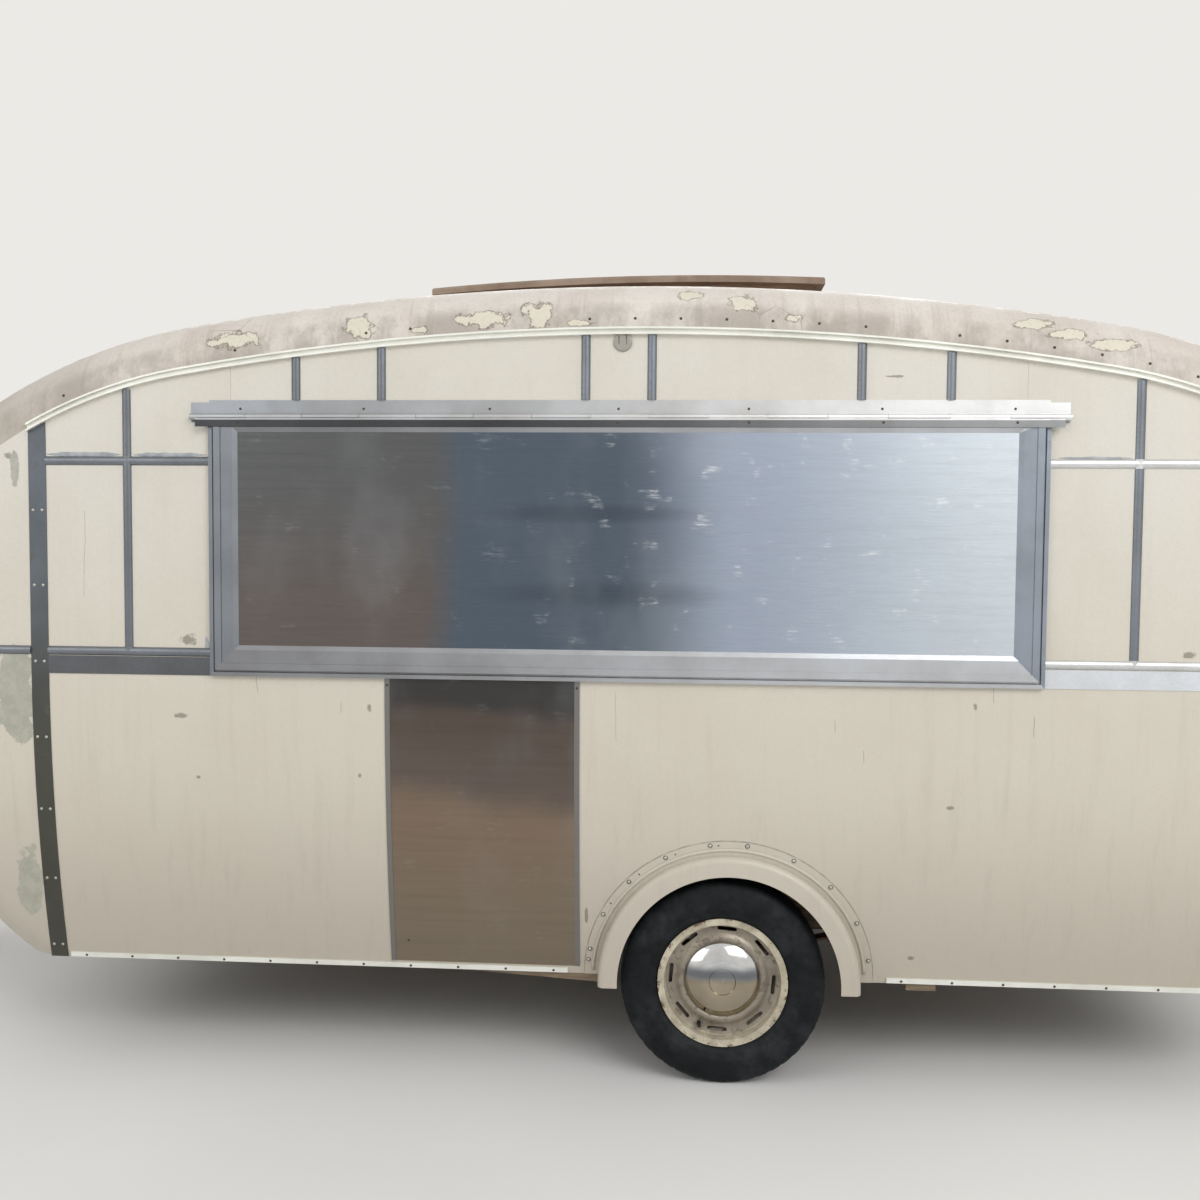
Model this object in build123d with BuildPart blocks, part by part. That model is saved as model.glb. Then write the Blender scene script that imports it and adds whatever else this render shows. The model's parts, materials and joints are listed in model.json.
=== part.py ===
from build123d import *
from math import asin, atan2, cos, degrees, hypot, radians, sin, sqrt, tan
import os

# A single-axle touring caravan of the 1950s with a serving hatch let into its near side.
# Millimetres. +X runs to the rear, -Y is the near side, +Z is up from the ground.
# Places along X are counted from the middle of the body unless a comment says otherwise.

# Body shell
body_length = 4156
body_width = 1980
roof_z = 2239
skirt_z = 290
belt_z = 1165
tuck = 85  # how far the side leans in from the belt down to the skirt
wall_t = 30
edge_r = 130

# Body outline seen from the side: roof, shoulder and end arcs, then the belly arc
crown_angle = 9.7
shoulder_r = 1530
shoulder_angle = 34
end_r = 420
belly_r = 706
belly_z = 838  # where the upright end starts to curve in

# Joints between the body panels
rail_drop = 144  # the awning rail's middle below the roof, square to the roof
end_joint_x = 1680
end_seam_z = 1750

# Awning rail, corner strips and half-round beads
rail_h = 20
rail_proud = 14
rail_lip = 5
strip_x = 1684.5  # the corner strips' middle
strip_w = 51
strip_t = 2
bead_w = 25
bead_proud = 8
upper_bead_z = 1740
belt_bead_z = 1204
belt_strip_z = 1164.5
bead_xs = (-1423, -938, -698, -133, 47, 609, 845, 1339)
sill_h = 15
sill_t = 6
sill_lift = 2
sill_spans = ((-1648, -180), (719, 1648))

# Floor and wheel boxes
floor_z = 425
floor_t = 25
fit_gap = 0.5
box_r = 345
box_t = 12
box_depth = 215
arch_cut_r = 335

# Roof lantern
lantern_x = -47
lantern_length = 1211
lantern_width = 1080
lantern_front_z = 2309
lantern_mid_z = 2342
lantern_rear_z = 2334
lantern_roof_t = 22
lantern_eave = 30
curb_t = 25
curb_light_l = 300
curb_light_h = 36
curb_light_count = 3

# Serving hatch
hatch_x = -39.5
hatch_w = 2289
hatch_bottom_z = 1140
hatch_hinge_z = 1862
hatch_hinge_r = 9
hatch_hinge_w = 2392
hatch_leaf_h = 40
hatch_leaf_t = 3
moving_leaf_inset = 20
moving_leaf_drop = 28
moving_leaf_top_gap = 5
surround_w = 11
surround_proud = 14
surround_t = 3
surround_lip_h = 7
surround_lip_t = 1.5
hatch_gap = 5
hatch_seat_gap = 1
hatch_flap_t = 20
hatch_top_drop = 13  # from the hinge pin down to the top of the flap
hatch_stile = 68
hatch_bottom_rail = 71
hatch_top_rail = 29
hatch_rim_w = 21  # the proud band round the frame
hatch_top_rim_w = 12
hatch_rim_step = 2.5
hatch_panel_t = 4
hatch_panel_sink = 9
hatch_inner_slope = 13
hatch_outer_bevel = 3
hatch_hinge_lift = 0.5  # clear of the fixed leaf
hatch_pin_r = 3
hinge_knuckles = 15
knuckle_gap = 0.5
hatch_opening_margin = 60
reveal_t = 4

# Filled-in doorway on the near side
infill_x = -417
infill_w = 532
infill_bottom_z = 312
infill_proud = 1.5
infill_strip_w = 14
infill_strip_t = 3

# Door on the off side
door_x = -415.5
door_opening_w = 504
door_bottom_z = 318
door_top_z = 1884
door_gap = 12
door_lap = 24
door_skin_t = 2.5
door_seat_gap = 0.5
door_window_w = 330
door_hinge_r = 7
door_hinge_h = 70
door_pin_r = 3
door_hinge_zs = (620, 1240, 1780)
door_handle_z = 1080
handle_inset = 60
handle_plate = (36, 130, 12)  # width, height, corner radius
handle_plate_t = 6
handle_bar = (115, 18, 8)  # length, height, corner radius
handle_bar_out = 45  # from the spindle to the bar's middle
handle_spindle_r = 9
handle_lift = 30
handle_reach = 30
handle_t = 12
hinge_leaf_w = 50
hinge_reach = 50  # from the doorway's edge to the clear end of the hinges' wall plates

# Windows: the off side's by their middles and widths, then the two ends'
side_windows = ((-1180, 400), (328, 470), (1092, 400))
window_bottom_z = 1290
window_top_z = 1690
end_window_w = 1040
end_window_bottom_z = 1250
end_window_top_z = 1505
window_corner_r = 40
window_frame_w = 26
window_frame_proud = 8
glass_t = 4
glass_sink = 12
glass_lip = 4

# Round eye plate under the near awning rail, and the tail lamps
eye_plate_x = -33
eye_plate_z = 2065
eye_plate_r = 25.5
eye_plate_t = 6
eye_slot_w = 3
eye_slot_x = 10
eye_slot_bottom = 6
tail_lamp_inset = 290
tail_lamp_z = 930
tail_lamp_r = 48
tail_lamp_proud = 28

# Chassis
chassis_h = 75
chassis_w = 38
chassis_t = 5
chassis_y = 560
chassis_end_x = 1650
cross_xs = (-1500, -900, -300, 820, 1500)
cross_w = 40
arm_root_x = -1350
arm_tip_x = -2870
arm_tip_y = 40
slot_gap = 6
apex_t = 6
apex_length = 330

# Running gear
axle_aft = 260
axle_r = 25
tyre_r = 289
wheel_inset = 108
rim_w = 127
rim_slot_from = 22
disc_t = 4
hub_face_out = 8  # the wheel's seat outboard of the wheel's middle
hub_flange_r = 75
hub_flange_t = 10
hub_r = 40
drum_r = 100
drum_w = 50
drum_t = 6
drum_inset = 148
spindle_r = 15
running_gap = 0.06
hubcap_r = 104
hubcap_recess_r = 38
hubcap_t = 1.5
hubcap_lift = 21
hubcap_rise = 29
hubcap_rim = 8  # depth of the upright edge under the dome
hubcap_shoulder = (0.78, 0.76)  # share of the rise, share of the radius
hubcap_sink = 4
tyre_rounding = 8
tyre_rounded_beyond = 220
plate_t = 4
hub_gap = 2
u_bolt_r = 5
u_plate_t = 5
rim_slot_count = 8
rim_slot_r = 153
rim_slot_l = 56
rim_slot_w = 11

# Leaf springs
spring_y = 541
spring_w = 45
spring_half = 350
leaf_t = 7
leaf_reaches = (1.0, 0.82, 0.62, 0.4)
spring_eye_r = 15
spring_pin_r = 6
eye_drop = 22
hanger_t = 5
hanger_gap = 1
clamp_seat = 2  # how far the lower clamp plate is let into the bent leaves

# Wheel-arch spats
spat_lag = 15
spat_z = 291
spat_flange_r = 405
spat_ridge_r = 365
spat_open_r = 310
spat_inset = 5
spat_t = 3
spat_bottom_z = 278
spat_ridge_round = 18

# Blocks under the foot of each side: a tapered packer ahead of the wheel, a plain one behind it
packer_t = 24
packer_inset = 3
packer_outlines = (  # x and depth below the foot at the front end, then at the rear end
    (-480, 2, -85, 25),
    (775, 20, 857, 20),
)

# Coupling
drawbar_reach = 1080
coupling_z = 435
coupling_w = 76
coupling_h = 64
coupling_length = 240
ball_r = 25.2
socket_depth = 32
drawtube_r = 25
housing_length = 330
housing_w = 90
housing_h = 70
latch_length = 110
latch_angle = 65
latch_w = 24
latch_t = 14
lever_length = 330
lever_angle = -35
lever_w = 24
lever_t = 10
lever_inset = 60
grip_length = 110
grip_w = 32
grip_t = 24

# Jockey wheel
jockey_x = -2620
jockey_tube_r = 24
jockey_tube_t = 3
jockey_tube_bottom_z = 336
jockey_tube_top_z = 700
jockey_wheel_r = 100
jockey_wheel_w = 50
jockey_trail = 45
jockey_standoff = 58
fork_top_z = 232
fork_t = 6
fork_pin_r = 8
fork_pin_l = 30
fork_w = 34
fork_side_gap = 5
jockey_axle_r = 6
hub_sink = 6
swivel_gap = 0.3
stem_gap = 0.2
stem_top_z = 590
clamp_h = 46
clamp_t = 9
crank_r = 8
crank_rise = 30
crank_reach = 110
crank_grip = 60

# Corner steadies
steady_x = 1600
steady_inset = 310
steady_z = 345
steady_length = 400
steady_w = 40
steady_h = 28
steady_t = 3
steady_pin_r = 6
steady_drop_angle = 50
steady_foot = 76

# Sizes that follow
half_length = body_length / 2
half_width = body_width / 2
body_x = (drawbar_reach - tail_lamp_proud) / 2
frame_z = floor_z - floor_t
axle_z = tyre_r
outer_drop = wall_t + fit_gap
box_y = half_width - box_depth
tail_lamp_y = half_width - tail_lamp_inset
spat_y = half_width - spat_inset
wheel_y = half_width - wheel_inset
hub_face_y = wheel_y + hub_face_out
drum_inner_y = hub_face_y - drum_inset
steady_y = half_width - steady_inset


def turned(centre, radius, angle):
    """The point at a radius from a centre, its angle counted from upright towards +X."""
    return (centre[0] + radius * sin(radians(angle)), centre[1] + radius * cos(radians(angle)))


shoulder_span = shoulder_r * (sin(radians(shoulder_angle)) - sin(radians(crown_angle)))
end_span = end_r * (1 - sin(radians(shoulder_angle)))
crown_r = (half_length - shoulder_span - end_span) / sin(radians(crown_angle))
crown_centre = (0, roof_z - crown_r)
shoulder_centre = turned(crown_centre, crown_r - shoulder_r, crown_angle)
end_centre = turned(shoulder_centre, shoulder_r - end_r, shoulder_angle)
belly_centre = (half_length - belly_r, belly_z)
tuck_r = ((belt_z - skirt_z) ** 2 + tuck**2) / (2 * tuck)


def side_plane(y=0):
    """Upright along the body, facing the near side."""
    return Plane(origin=(body_x, y, 0), x_dir=(1, 0, 0), z_dir=(0, -1, 0))


def cross_plane(x=0):
    """Upright across the body, facing the rear."""
    return Plane(origin=(body_x + x, 0, 0), x_dir=(0, 1, 0), z_dir=(1, 0, 0))


def level_plane(z=0):
    return Plane(origin=(body_x, 0, z), x_dir=(1, 0, 0), z_dir=(0, 0, 1))


def block(x, y, z):
    """A box between two corners, given as a low and a high value for each axis."""
    with BuildPart() as box:
        with Locations((body_x + (x[0] + x[1]) / 2, (y[0] + y[1]) / 2, (z[0] + z[1]) / 2)):
            Box(x[1] - x[0], y[1] - y[0], z[1] - z[0])
    return box.part


def roof_line(x, inset):
    """Height of the roof outline at x, inset square to the roof."""
    x = abs(x)
    for centre, radius, angle in (
        (crown_centre, crown_r, crown_angle),
        (shoulder_centre, shoulder_r, shoulder_angle),
        (end_centre, end_r, 90),
    ):
        if x <= turned(centre, radius - inset, angle)[0]:
            return centre[1] + sqrt((radius - inset) ** 2 - (x - centre[0]) ** 2)
    return end_centre[1]


def side_inset(z):
    """How far the side wall's face lies inside the belt at a height."""
    drop = max(belt_z - z, 0)
    return tuck_r - sqrt(tuck_r**2 - drop**2)


def roof_arcs(inset):
    """The three arcs from the middle of the roof to the upright end."""
    CenterArc(crown_centre, crown_r - inset, 90 - crown_angle, crown_angle)
    CenterArc(shoulder_centre, shoulder_r - inset, 90 - shoulder_angle, shoulder_angle - crown_angle)
    return CenterArc(end_centre, end_r - inset, 0, 90 - shoulder_angle)


def outline(inset):
    """The whole side view of the body, inset square to its surface."""
    bottom_z = skirt_z + max(inset, 0)
    belly_end = degrees(asin((belly_z - bottom_z) / (belly_r - inset)))
    with BuildSketch(side_plane(half_width + strip_w)) as face:
        with BuildLine():
            end = roof_arcs(inset)
            belly = CenterArc(belly_centre, belly_r - inset, -belly_end, belly_end)
            Line(end @ 0, belly @ 1)
            Line(belly @ 0, (0, bottom_z))
            mirror(about=Plane.YZ)
        make_face()
    return face.sketch


def under_roof(inset, y=half_width + strip_w):
    """All that lies inside the roof outline and its upright ends, open downwards."""
    with BuildSketch(side_plane(y)) as face:
        with BuildLine():
            end = roof_arcs(inset)
            Line(end @ 0, (half_length - inset, 0))
            Line((half_length - inset, 0), (0, 0))
            mirror(about=Plane.YZ)
        make_face()
    return face.sketch


def section(inset, x):
    """The cross-section of the body: upright sides that curve in below the belt."""
    bottom_z = skirt_z - 60
    radius = tuck_r - inset
    rise = degrees(asin((belt_z - bottom_z) / radius))
    with BuildSketch(cross_plane(x)) as face:
        with BuildLine():
            side = CenterArc((half_width - tuck_r, belt_z), radius, -rise, rise)
            Line(side @ 1, (half_width - inset, roof_z + wall_t))
            Line((half_width - inset, roof_z + wall_t), (0, roof_z + wall_t))
            Line((0, (side @ 0).Y), side @ 0)
            mirror(about=Plane.YZ)
        make_face()
    return face.sketch


def body_solid(inset):
    """The body's block, with its long edges rounded from foot to foot over the roof."""
    bottom_z = skirt_z + max(inset, 0)

    def rounded(edge):
        run = edge @ 1 - edge @ 0
        along_belt = abs(edge.center().Z - belt_z) < 1 and abs(run.X) > abs(run.Z)
        beside = abs(edge.center().Y) > half_width / 2
        return beside and edge.center().Z > bottom_z + 1 and not along_belt

    with BuildPart() as body:
        extrude(outline(inset), amount=body_width + 2 * strip_w)
        extrude(section(inset, -half_length - 50), amount=body_length + 100, mode=Mode.INTERSECT)
        fillet(body.edges().filter_by(rounded), edge_r - inset)
    return body.part


def side_skin(inner, outer, x_low, x_high, z_low, z_high):
    """A skin on the near side, from inner inside the wall's face to outer outside it."""
    with BuildPart() as skin:
        extrude(section(-outer, x_low) - section(inner, x_low), amount=x_high - x_low)
        near = (-half_width - outer - 1, -half_width / 2)
        add(block((x_low - 1, x_high + 1), near, (z_low, z_high)), mode=Mode.INTERSECT)
    return skin.part


def off_side(part):
    """The same piece on the off side."""
    return mirror(part, about=Plane.XZ, mode=Mode.PRIVATE)


def rounded_hole(plane, x, z, width, height, depth):
    """The block that a window cuts out of its wall."""
    with BuildPart() as hole:
        with BuildSketch(plane):
            with Locations((x, z)):
                RectangleRounded(width, height, window_corner_r)
        extrude(amount=depth, both=True)
    return hole.part


# Body shell, open between the skirts underneath
with BuildPart() as shell:
    add(body_solid(0))
    add(body_solid(wall_t), mode=Mode.SUBTRACT)
    inner_half = half_width - side_inset(skirt_z + wall_t) - wall_t
    open_z = (skirt_z - 1, skirt_z + wall_t + 1)
    add(block((-end_joint_x, end_joint_x), (-inner_half, inner_half), open_z), mode=Mode.SUBTRACT)

near_y = (-half_width - strip_w, -half_width + tuck + wall_t + strip_w)

# Plain side wall, before its openings
with BuildPart() as side_wall:
    add(shell.part)
    extrude(under_roof(rail_drop), amount=body_width + 2 * strip_w, mode=Mode.INTERSECT)
    add(block((-end_joint_x, end_joint_x), near_y, (0, roof_z)), mode=Mode.INTERSECT)
    wheel_plane = side_plane(-half_width / 2)
    with BuildSketch(wheel_plane):
        with Locations((axle_aft, axle_z)):
            Circle(arch_cut_r)
    extrude(amount=half_width, mode=Mode.SUBTRACT)

# Hatch sizes that the wall, the surround and the flap share
hatch_left = hatch_x - hatch_w / 2
hatch_right = hatch_x + hatch_w / 2
opening_x = (hatch_left + hatch_opening_margin, hatch_right - hatch_opening_margin)
opening_z = (hatch_bottom_z + hatch_opening_margin, hatch_hinge_z - hatch_opening_margin)
through_y = (-half_width - strip_w, -half_width + wall_t + 1)
infill_span = (infill_x - infill_w / 2, infill_x + infill_w / 2)

# Near-side wall in four sheets: under the belt bead, at each side of the hatch and over it
with BuildPart() as near_wall:
    add(side_wall.part)
    add(block(opening_x, through_y, opening_z), mode=Mode.SUBTRACT)
    add(block(infill_span, near_y, (infill_bottom_z, hatch_bottom_z)), mode=Mode.SUBTRACT)
    sheet_ends = (-end_joint_x, end_joint_x)
    add(block(sheet_ends, near_y, (opening_z[0] - fit_gap, opening_z[0])), mode=Mode.SUBTRACT)
    for x in ((opening_x[0], opening_x[0] + fit_gap), (opening_x[1] - fit_gap, opening_x[1])):
        add(block(x, near_y, (opening_z[1], roof_z)), mode=Mode.SUBTRACT)
near_wall.part.label = "near_wall"

# Off-side wall with its doorway and windows
door_span = (door_x - door_opening_w / 2, door_x + door_opening_w / 2)
off_y = (-near_y[1], -near_y[0])
window_mid_z = (window_bottom_z + window_top_z) / 2
window_h = window_top_z - window_bottom_z
with BuildPart() as off_wall:
    add(off_side(side_wall.part))
    add(block(door_span, off_y, (door_bottom_z, door_top_z)), mode=Mode.SUBTRACT)
    for x, width in side_windows:
        hole = rounded_hole(side_plane(half_width), x, window_mid_z, width, window_h, wall_t + 5)
        add(hole, mode=Mode.SUBTRACT)
off_wall.part.label = "off_wall"

# Chassis drawbar arms, which the belly panel is slotted for
arm_root = (arm_root_x, chassis_y - chassis_w / 2)
arm_length = hypot(arm_root_x - arm_tip_x, arm_root[1] - arm_tip_y)
arm_angle = degrees(atan2(arm_root[1] - arm_tip_y, arm_root_x - arm_tip_x))


def arm_plane():
    """Square to the near arm at its root, facing its tip, with local x across the arm."""
    heading = (-cos(radians(arm_angle)), sin(radians(arm_angle)), 0)
    across = (-sin(radians(arm_angle)), -cos(radians(arm_angle)), 0)
    origin = (body_x + arm_root[0], -arm_root[1], frame_z - chassis_h / 2)
    return Plane(origin=origin, x_dir=across, z_dir=heading)


with BuildPart() as arm_slot:
    with BuildSketch(arm_plane()):
        Rectangle(chassis_w + 2 * slot_gap, chassis_h + 2 * slot_gap)
    extrude(amount=arm_length)

# End walls, which wrap round to the side walls and meet the roof at a level seam
end_windows_z = (end_window_bottom_z + end_window_top_z) / 2
end_window_h = end_window_top_z - end_window_bottom_z


def above_seam(ends):
    """All over the level seam at an end that belongs to the roof."""
    with BuildPart() as upper:
        add(block(ends, (-half_width - strip_w, half_width + strip_w), (end_seam_z, roof_z)))
        extrude(under_roof(rail_drop), amount=body_width + 2 * strip_w, mode=Mode.SUBTRACT)
    return upper.part


def end_wall(side):
    """The front (-1) or rear (+1) end panel."""
    ends = sorted((side * end_joint_x, side * (half_length + strip_w)))
    with BuildPart() as panel:
        add(shell.part)
        over_y = (-half_width - strip_w, half_width + strip_w)
        add(block(ends, over_y, (0, roof_z)), mode=Mode.INTERSECT)
        add(above_seam(ends), mode=Mode.SUBTRACT)
        plane = cross_plane(side * half_length)
        hole = rounded_hole(plane, 0, end_windows_z, end_window_w, end_window_h, wall_t + 5)
        add(hole, mode=Mode.SUBTRACT)
    return panel.part


with BuildPart() as front_wall:
    add(end_wall(-1))
    add(arm_slot.part, mode=Mode.SUBTRACT)
    add(off_side(arm_slot.part), mode=Mode.SUBTRACT)
front_wall.part.label = "front_wall"

with BuildPart() as rear_wall:
    add(end_wall(1))
rear_wall.part.label = "rear_wall"

# Roof skin with the lantern's well
lantern_span = (lantern_x - lantern_length / 2, lantern_x + lantern_length / 2)
curb_x = (lantern_span[0] + lantern_eave, lantern_span[1] - lantern_eave)
curb_half = lantern_width / 2 - lantern_eave
well_x = (curb_x[0] + curb_t, curb_x[1] - curb_t)
well_half = curb_half - curb_t
with BuildPart() as roof:
    add(shell.part)
    extrude(under_roof(rail_drop), amount=body_width + 2 * strip_w, mode=Mode.SUBTRACT)
    whole_y = (-half_width - 1, half_width + 1)
    for side in (-1, 1):
        ends = sorted((side * end_joint_x, side * (half_length + 1)))
        add(block(ends, whole_y, (0, end_seam_z)), mode=Mode.SUBTRACT)
    middle = (-end_joint_x, end_joint_x)
    add(block(middle, whole_y, (0, end_seam_z)), mode=Mode.SUBTRACT)
    well_z = (roof_z - 4 * wall_t, roof_z + wall_t)
    add(block(well_x, (-well_half, well_half), well_z), mode=Mode.SUBTRACT)
roof.part.label = "roof"

# Lantern: an upstand with low lights in its long sides, under a crowned roof
with BuildPart() as lantern_roof:
    with BuildSketch(side_plane(lantern_width / 2)) as face:
        with BuildLine():
            top = ThreePointArc(
                (lantern_span[0], lantern_front_z),
                (lantern_x, lantern_mid_z),
                (lantern_span[1], lantern_rear_z),
            )
            under = ThreePointArc(
                (lantern_span[0], lantern_front_z - lantern_roof_t),
                (lantern_x, lantern_mid_z - lantern_roof_t),
                (lantern_span[1], lantern_rear_z - lantern_roof_t),
            )
            Line(top @ 0, under @ 0)
            Line(top @ 1, under @ 1)
        make_face()
    extrude(amount=lantern_width)
    fillet(lantern_roof.faces().sort_by(Axis.Z)[-1].edges(), lantern_roof_t * 0.4)
lantern_roof.part.label = "lantern_roof"

light_pitch = (curb_x[1] - curb_x[0]) / curb_light_count
light_xs = [curb_x[0] + light_pitch * (i + 0.5) for i in range(curb_light_count)]
light_z = (roof_line(curb_x[0], 0) + lantern_front_z - lantern_roof_t) / 2 + 12
with BuildPart() as lantern_curb:
    add(block(curb_x, (-curb_half, curb_half), (roof_z - 4 * wall_t, lantern_mid_z)))
    add(block(well_x, (-well_half, well_half), (0, lantern_mid_z + 1)), mode=Mode.SUBTRACT)
    extrude(under_roof(0), amount=body_width + 2 * strip_w, mode=Mode.SUBTRACT)
    with BuildSketch(side_plane(lantern_width / 2)) as face:
        with BuildLine():
            Line(under @ 0, (lantern_span[0], lantern_mid_z + wall_t))
            Line((lantern_span[0], lantern_mid_z + wall_t), (lantern_span[1], lantern_mid_z + wall_t))
            Line((lantern_span[1], lantern_mid_z + wall_t), under @ 1)
            ThreePointArc(under @ 0, under @ 0.5, under @ 1)
        make_face()
    extrude(face.sketch, amount=lantern_width, mode=Mode.SUBTRACT)
    for x in light_xs:
        span = (x - curb_light_l / 2, x + curb_light_l / 2)
        height = (light_z - curb_light_h / 2, light_z + curb_light_h / 2)
        add(block(span, (-curb_half - 1, curb_half + 1), height), mode=Mode.SUBTRACT)
    for x in ((well_x[0], well_x[0] + fit_gap), (well_x[1] - fit_gap, well_x[1])):
        add(block(x, (-curb_half - 1, curb_half + 1), (0, lantern_mid_z + 1)), mode=Mode.SUBTRACT)
lantern_curb.part.label = "lantern_curb"


def wheel_box():
    """The near wheel box: a half-round wall and an inner face over the wheel."""
    depth = half_width - box_y
    with BuildPart() as box:
        with BuildSketch(side_plane(-box_y)):
            with Locations((axle_aft, axle_z)):
                Circle(box_r + box_t)
        extrude(amount=depth)
        with BuildSketch(side_plane(-box_y - box_t)):
            with Locations((axle_aft, axle_z)):
                Circle(box_r)
        extrude(amount=depth - box_t, mode=Mode.SUBTRACT)
        above = block((-half_length, half_length), (-half_width, 0), (frame_z, roof_z))
        add(above, mode=Mode.INTERSECT)
        extrude(section(outer_drop, -half_length), amount=body_length, mode=Mode.INTERSECT)
    return box.part


# Floor board with the wheel boxes on it
with BuildPart() as floor:
    add(body_solid(outer_drop))
    slab = block((-half_length, half_length), (-half_width, half_width), (frame_z, floor_z))
    add(slab, mode=Mode.INTERSECT)
    box_reach = sqrt((box_r + 2) ** 2 - (frame_z - axle_z) ** 2)
    for y in ((-half_width, -box_y), (box_y, half_width)):
        box_x = (axle_aft - box_reach, axle_aft + box_reach)
        add(block(box_x, y, (frame_z - 1, floor_z + 1)), mode=Mode.SUBTRACT)
    add(wheel_box())
    add(off_side(wheel_box()))
floor.part.label = "floor"

# Awning rails: a base band with two lips, along the joint of roof and side
rail_end_x = strip_x + strip_w / 2


def roof_band(low, high, proud):
    """A band of the near side between two depths below the roof, standing proud."""
    with BuildPart() as band:
        plane_y = -half_width
        extrude(under_roof(low, plane_y) - under_roof(high, plane_y), amount=proud)
        span = (-rail_end_x, rail_end_x)
        add(block(span, (-half_width - proud, -half_width), (end_seam_z, roof_z)), mode=Mode.INTERSECT)
    return band.part


with BuildPart() as awning_rails:
    rail_top = rail_drop - rail_h / 2
    rail_bottom = rail_drop + rail_h / 2
    add(roof_band(rail_top, rail_bottom, rail_lip))
    add(roof_band(rail_top, rail_top + rail_lip, rail_proud))
    add(roof_band(rail_bottom - rail_lip, rail_bottom, rail_proud))
    mirror(about=Plane.XZ)
awning_rails.part.label = "awning_rails"

# Flat strips over the four upright joints of side and end walls
with BuildPart() as corner_strips:
    for side in (-1, 1):
        x_low = side * strip_x - strip_w / 2
        top = roof_line(strip_x - strip_w / 2, rail_bottom)
        add(side_skin(0, strip_t, x_low, x_low + strip_w, skirt_z, top))
    extrude(under_roof(rail_bottom + fit_gap), amount=body_width + 2 * strip_w, mode=Mode.INTERSECT)
    mirror(about=Plane.XZ)
corner_strips.part.label = "corner_strips"

# Half-round beads and the flat belt strips
strip_inner_x = strip_x - strip_w / 2
bead_radius = ((bead_w / 2) ** 2 + bead_proud**2) / (2 * bead_proud)


def bead_face():
    """The half-round as a sketch: flat side on local x, crown towards local +y."""
    with BuildSketch() as face:
        with BuildLine():
            flat = Line((-bead_w / 2, 0), (bead_w / 2, 0))
            ThreePointArc(flat @ 0, (0, bead_proud), flat @ 1)
        make_face()
    return face.sketch


def upright_bead(x, z_low, z_high):
    with BuildPart() as bead:
        plane = Plane(origin=(body_x + x, -half_width, z_low), x_dir=(-1, 0, 0), z_dir=(0, 0, 1))
        with BuildSketch(plane):
            add(bead_face())
        extrude(amount=z_high - z_low)
    return bead.part


def level_bead(x_low, x_high, z):
    with BuildPart() as bead:
        plane = Plane(origin=(body_x + x_low, -half_width, z), x_dir=(0, 0, 1), z_dir=(1, 0, 0))
        with BuildSketch(plane):
            add(bead_face())
        extrude(amount=x_high - x_low)
    return bead.part


def end_bead(side, z):
    """A bead that wraps round an end, from one corner strip to the other."""
    start = side * (strip_x + strip_w / 2)
    end = side * half_length
    with BuildPart() as bead:
        with BuildLine() as path:
            FilletPolyline(
                (body_x + start, -half_width, z),
                (body_x + end, -half_width, z),
                (body_x + end, half_width, z),
                (body_x + start, half_width, z),
                radius=edge_r,
            )
        plane = Plane(origin=(body_x + start, -half_width, z), x_dir=(0, 0, side), z_dir=(side, 0, 0))
        with BuildSketch(plane):
            add(bead_face())
        sweep(path=path.line)
    return bead.part


def belt_strip(x_low, x_high):
    z = (belt_strip_z - strip_w / 2, belt_strip_z + strip_w / 2)
    return side_skin(0, strip_t, x_low, x_high, *z)


hinge_top_z = hatch_hinge_z + hatch_leaf_h
belt_spans = ((-strip_inner_x, hatch_left), (hatch_right, strip_inner_x))
door_clear = (door_span[0] - hinge_reach, door_span[1] + door_lap)
off_spans = ((-strip_inner_x, door_clear[0]), (door_clear[1], strip_inner_x))
over_door_z = door_top_z + door_lap + hatch_gap
with BuildPart() as side_mouldings:
    for x in bead_xs:
        over_hatch = hatch_left < x < hatch_right
        foot = hinge_top_z + surround_lip_h if over_hatch else belt_bead_z
        top = roof_line(abs(x) + bead_w / 2, rail_bottom)
        add(upright_bead(x, foot, top))
        off_foot = over_door_z if door_clear[0] < x < door_clear[1] + bead_w else belt_bead_z
        add(off_side(upright_bead(x, off_foot, top)))
    for x_low, x_high in belt_spans:
        add(level_bead(x_low, x_high, upper_bead_z))
        add(level_bead(x_low, x_high, belt_bead_z))
        add(belt_strip(x_low, x_high))
    for x_low, x_high in off_spans:
        add(off_side(level_bead(x_low, x_high, upper_bead_z)))
        add(off_side(level_bead(x_low, x_high, belt_bead_z)))
        add(off_side(belt_strip(x_low, x_high)))
    for side in (-1, 1):
        add(end_bead(side, belt_bead_z))
side_mouldings.part.label = "side_mouldings"

# Sill strips along the foot of each side
with BuildPart() as sill_strips:
    for x_low, x_high in sill_spans:
        z = (skirt_z + sill_lift, skirt_z + sill_lift + sill_h)
        add(side_skin(0, sill_t, x_low, x_high, *z))
    mirror(about=Plane.XZ)
sill_strips.part.label = "sill_strips"

# Hatch surround in four lengths: a plate round the opening, its upstand, the reveal and the fixed hinge leaf
hinge_y = -half_width - hatch_leaf_t - hatch_hinge_r - hatch_hinge_lift
hinge_x = (hatch_x - hatch_hinge_w / 2, hatch_x + hatch_hinge_w / 2)
surround_top_z = hatch_hinge_z - hatch_top_drop


def hinge_bar(x_low, x_high, radius):
    with BuildPart() as bar:
        with BuildSketch(cross_plane(x_low)):
            with Locations((hinge_y, hatch_hinge_z)):
                Circle(radius)
        extrude(amount=x_high - x_low)
    return bar.part


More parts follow.
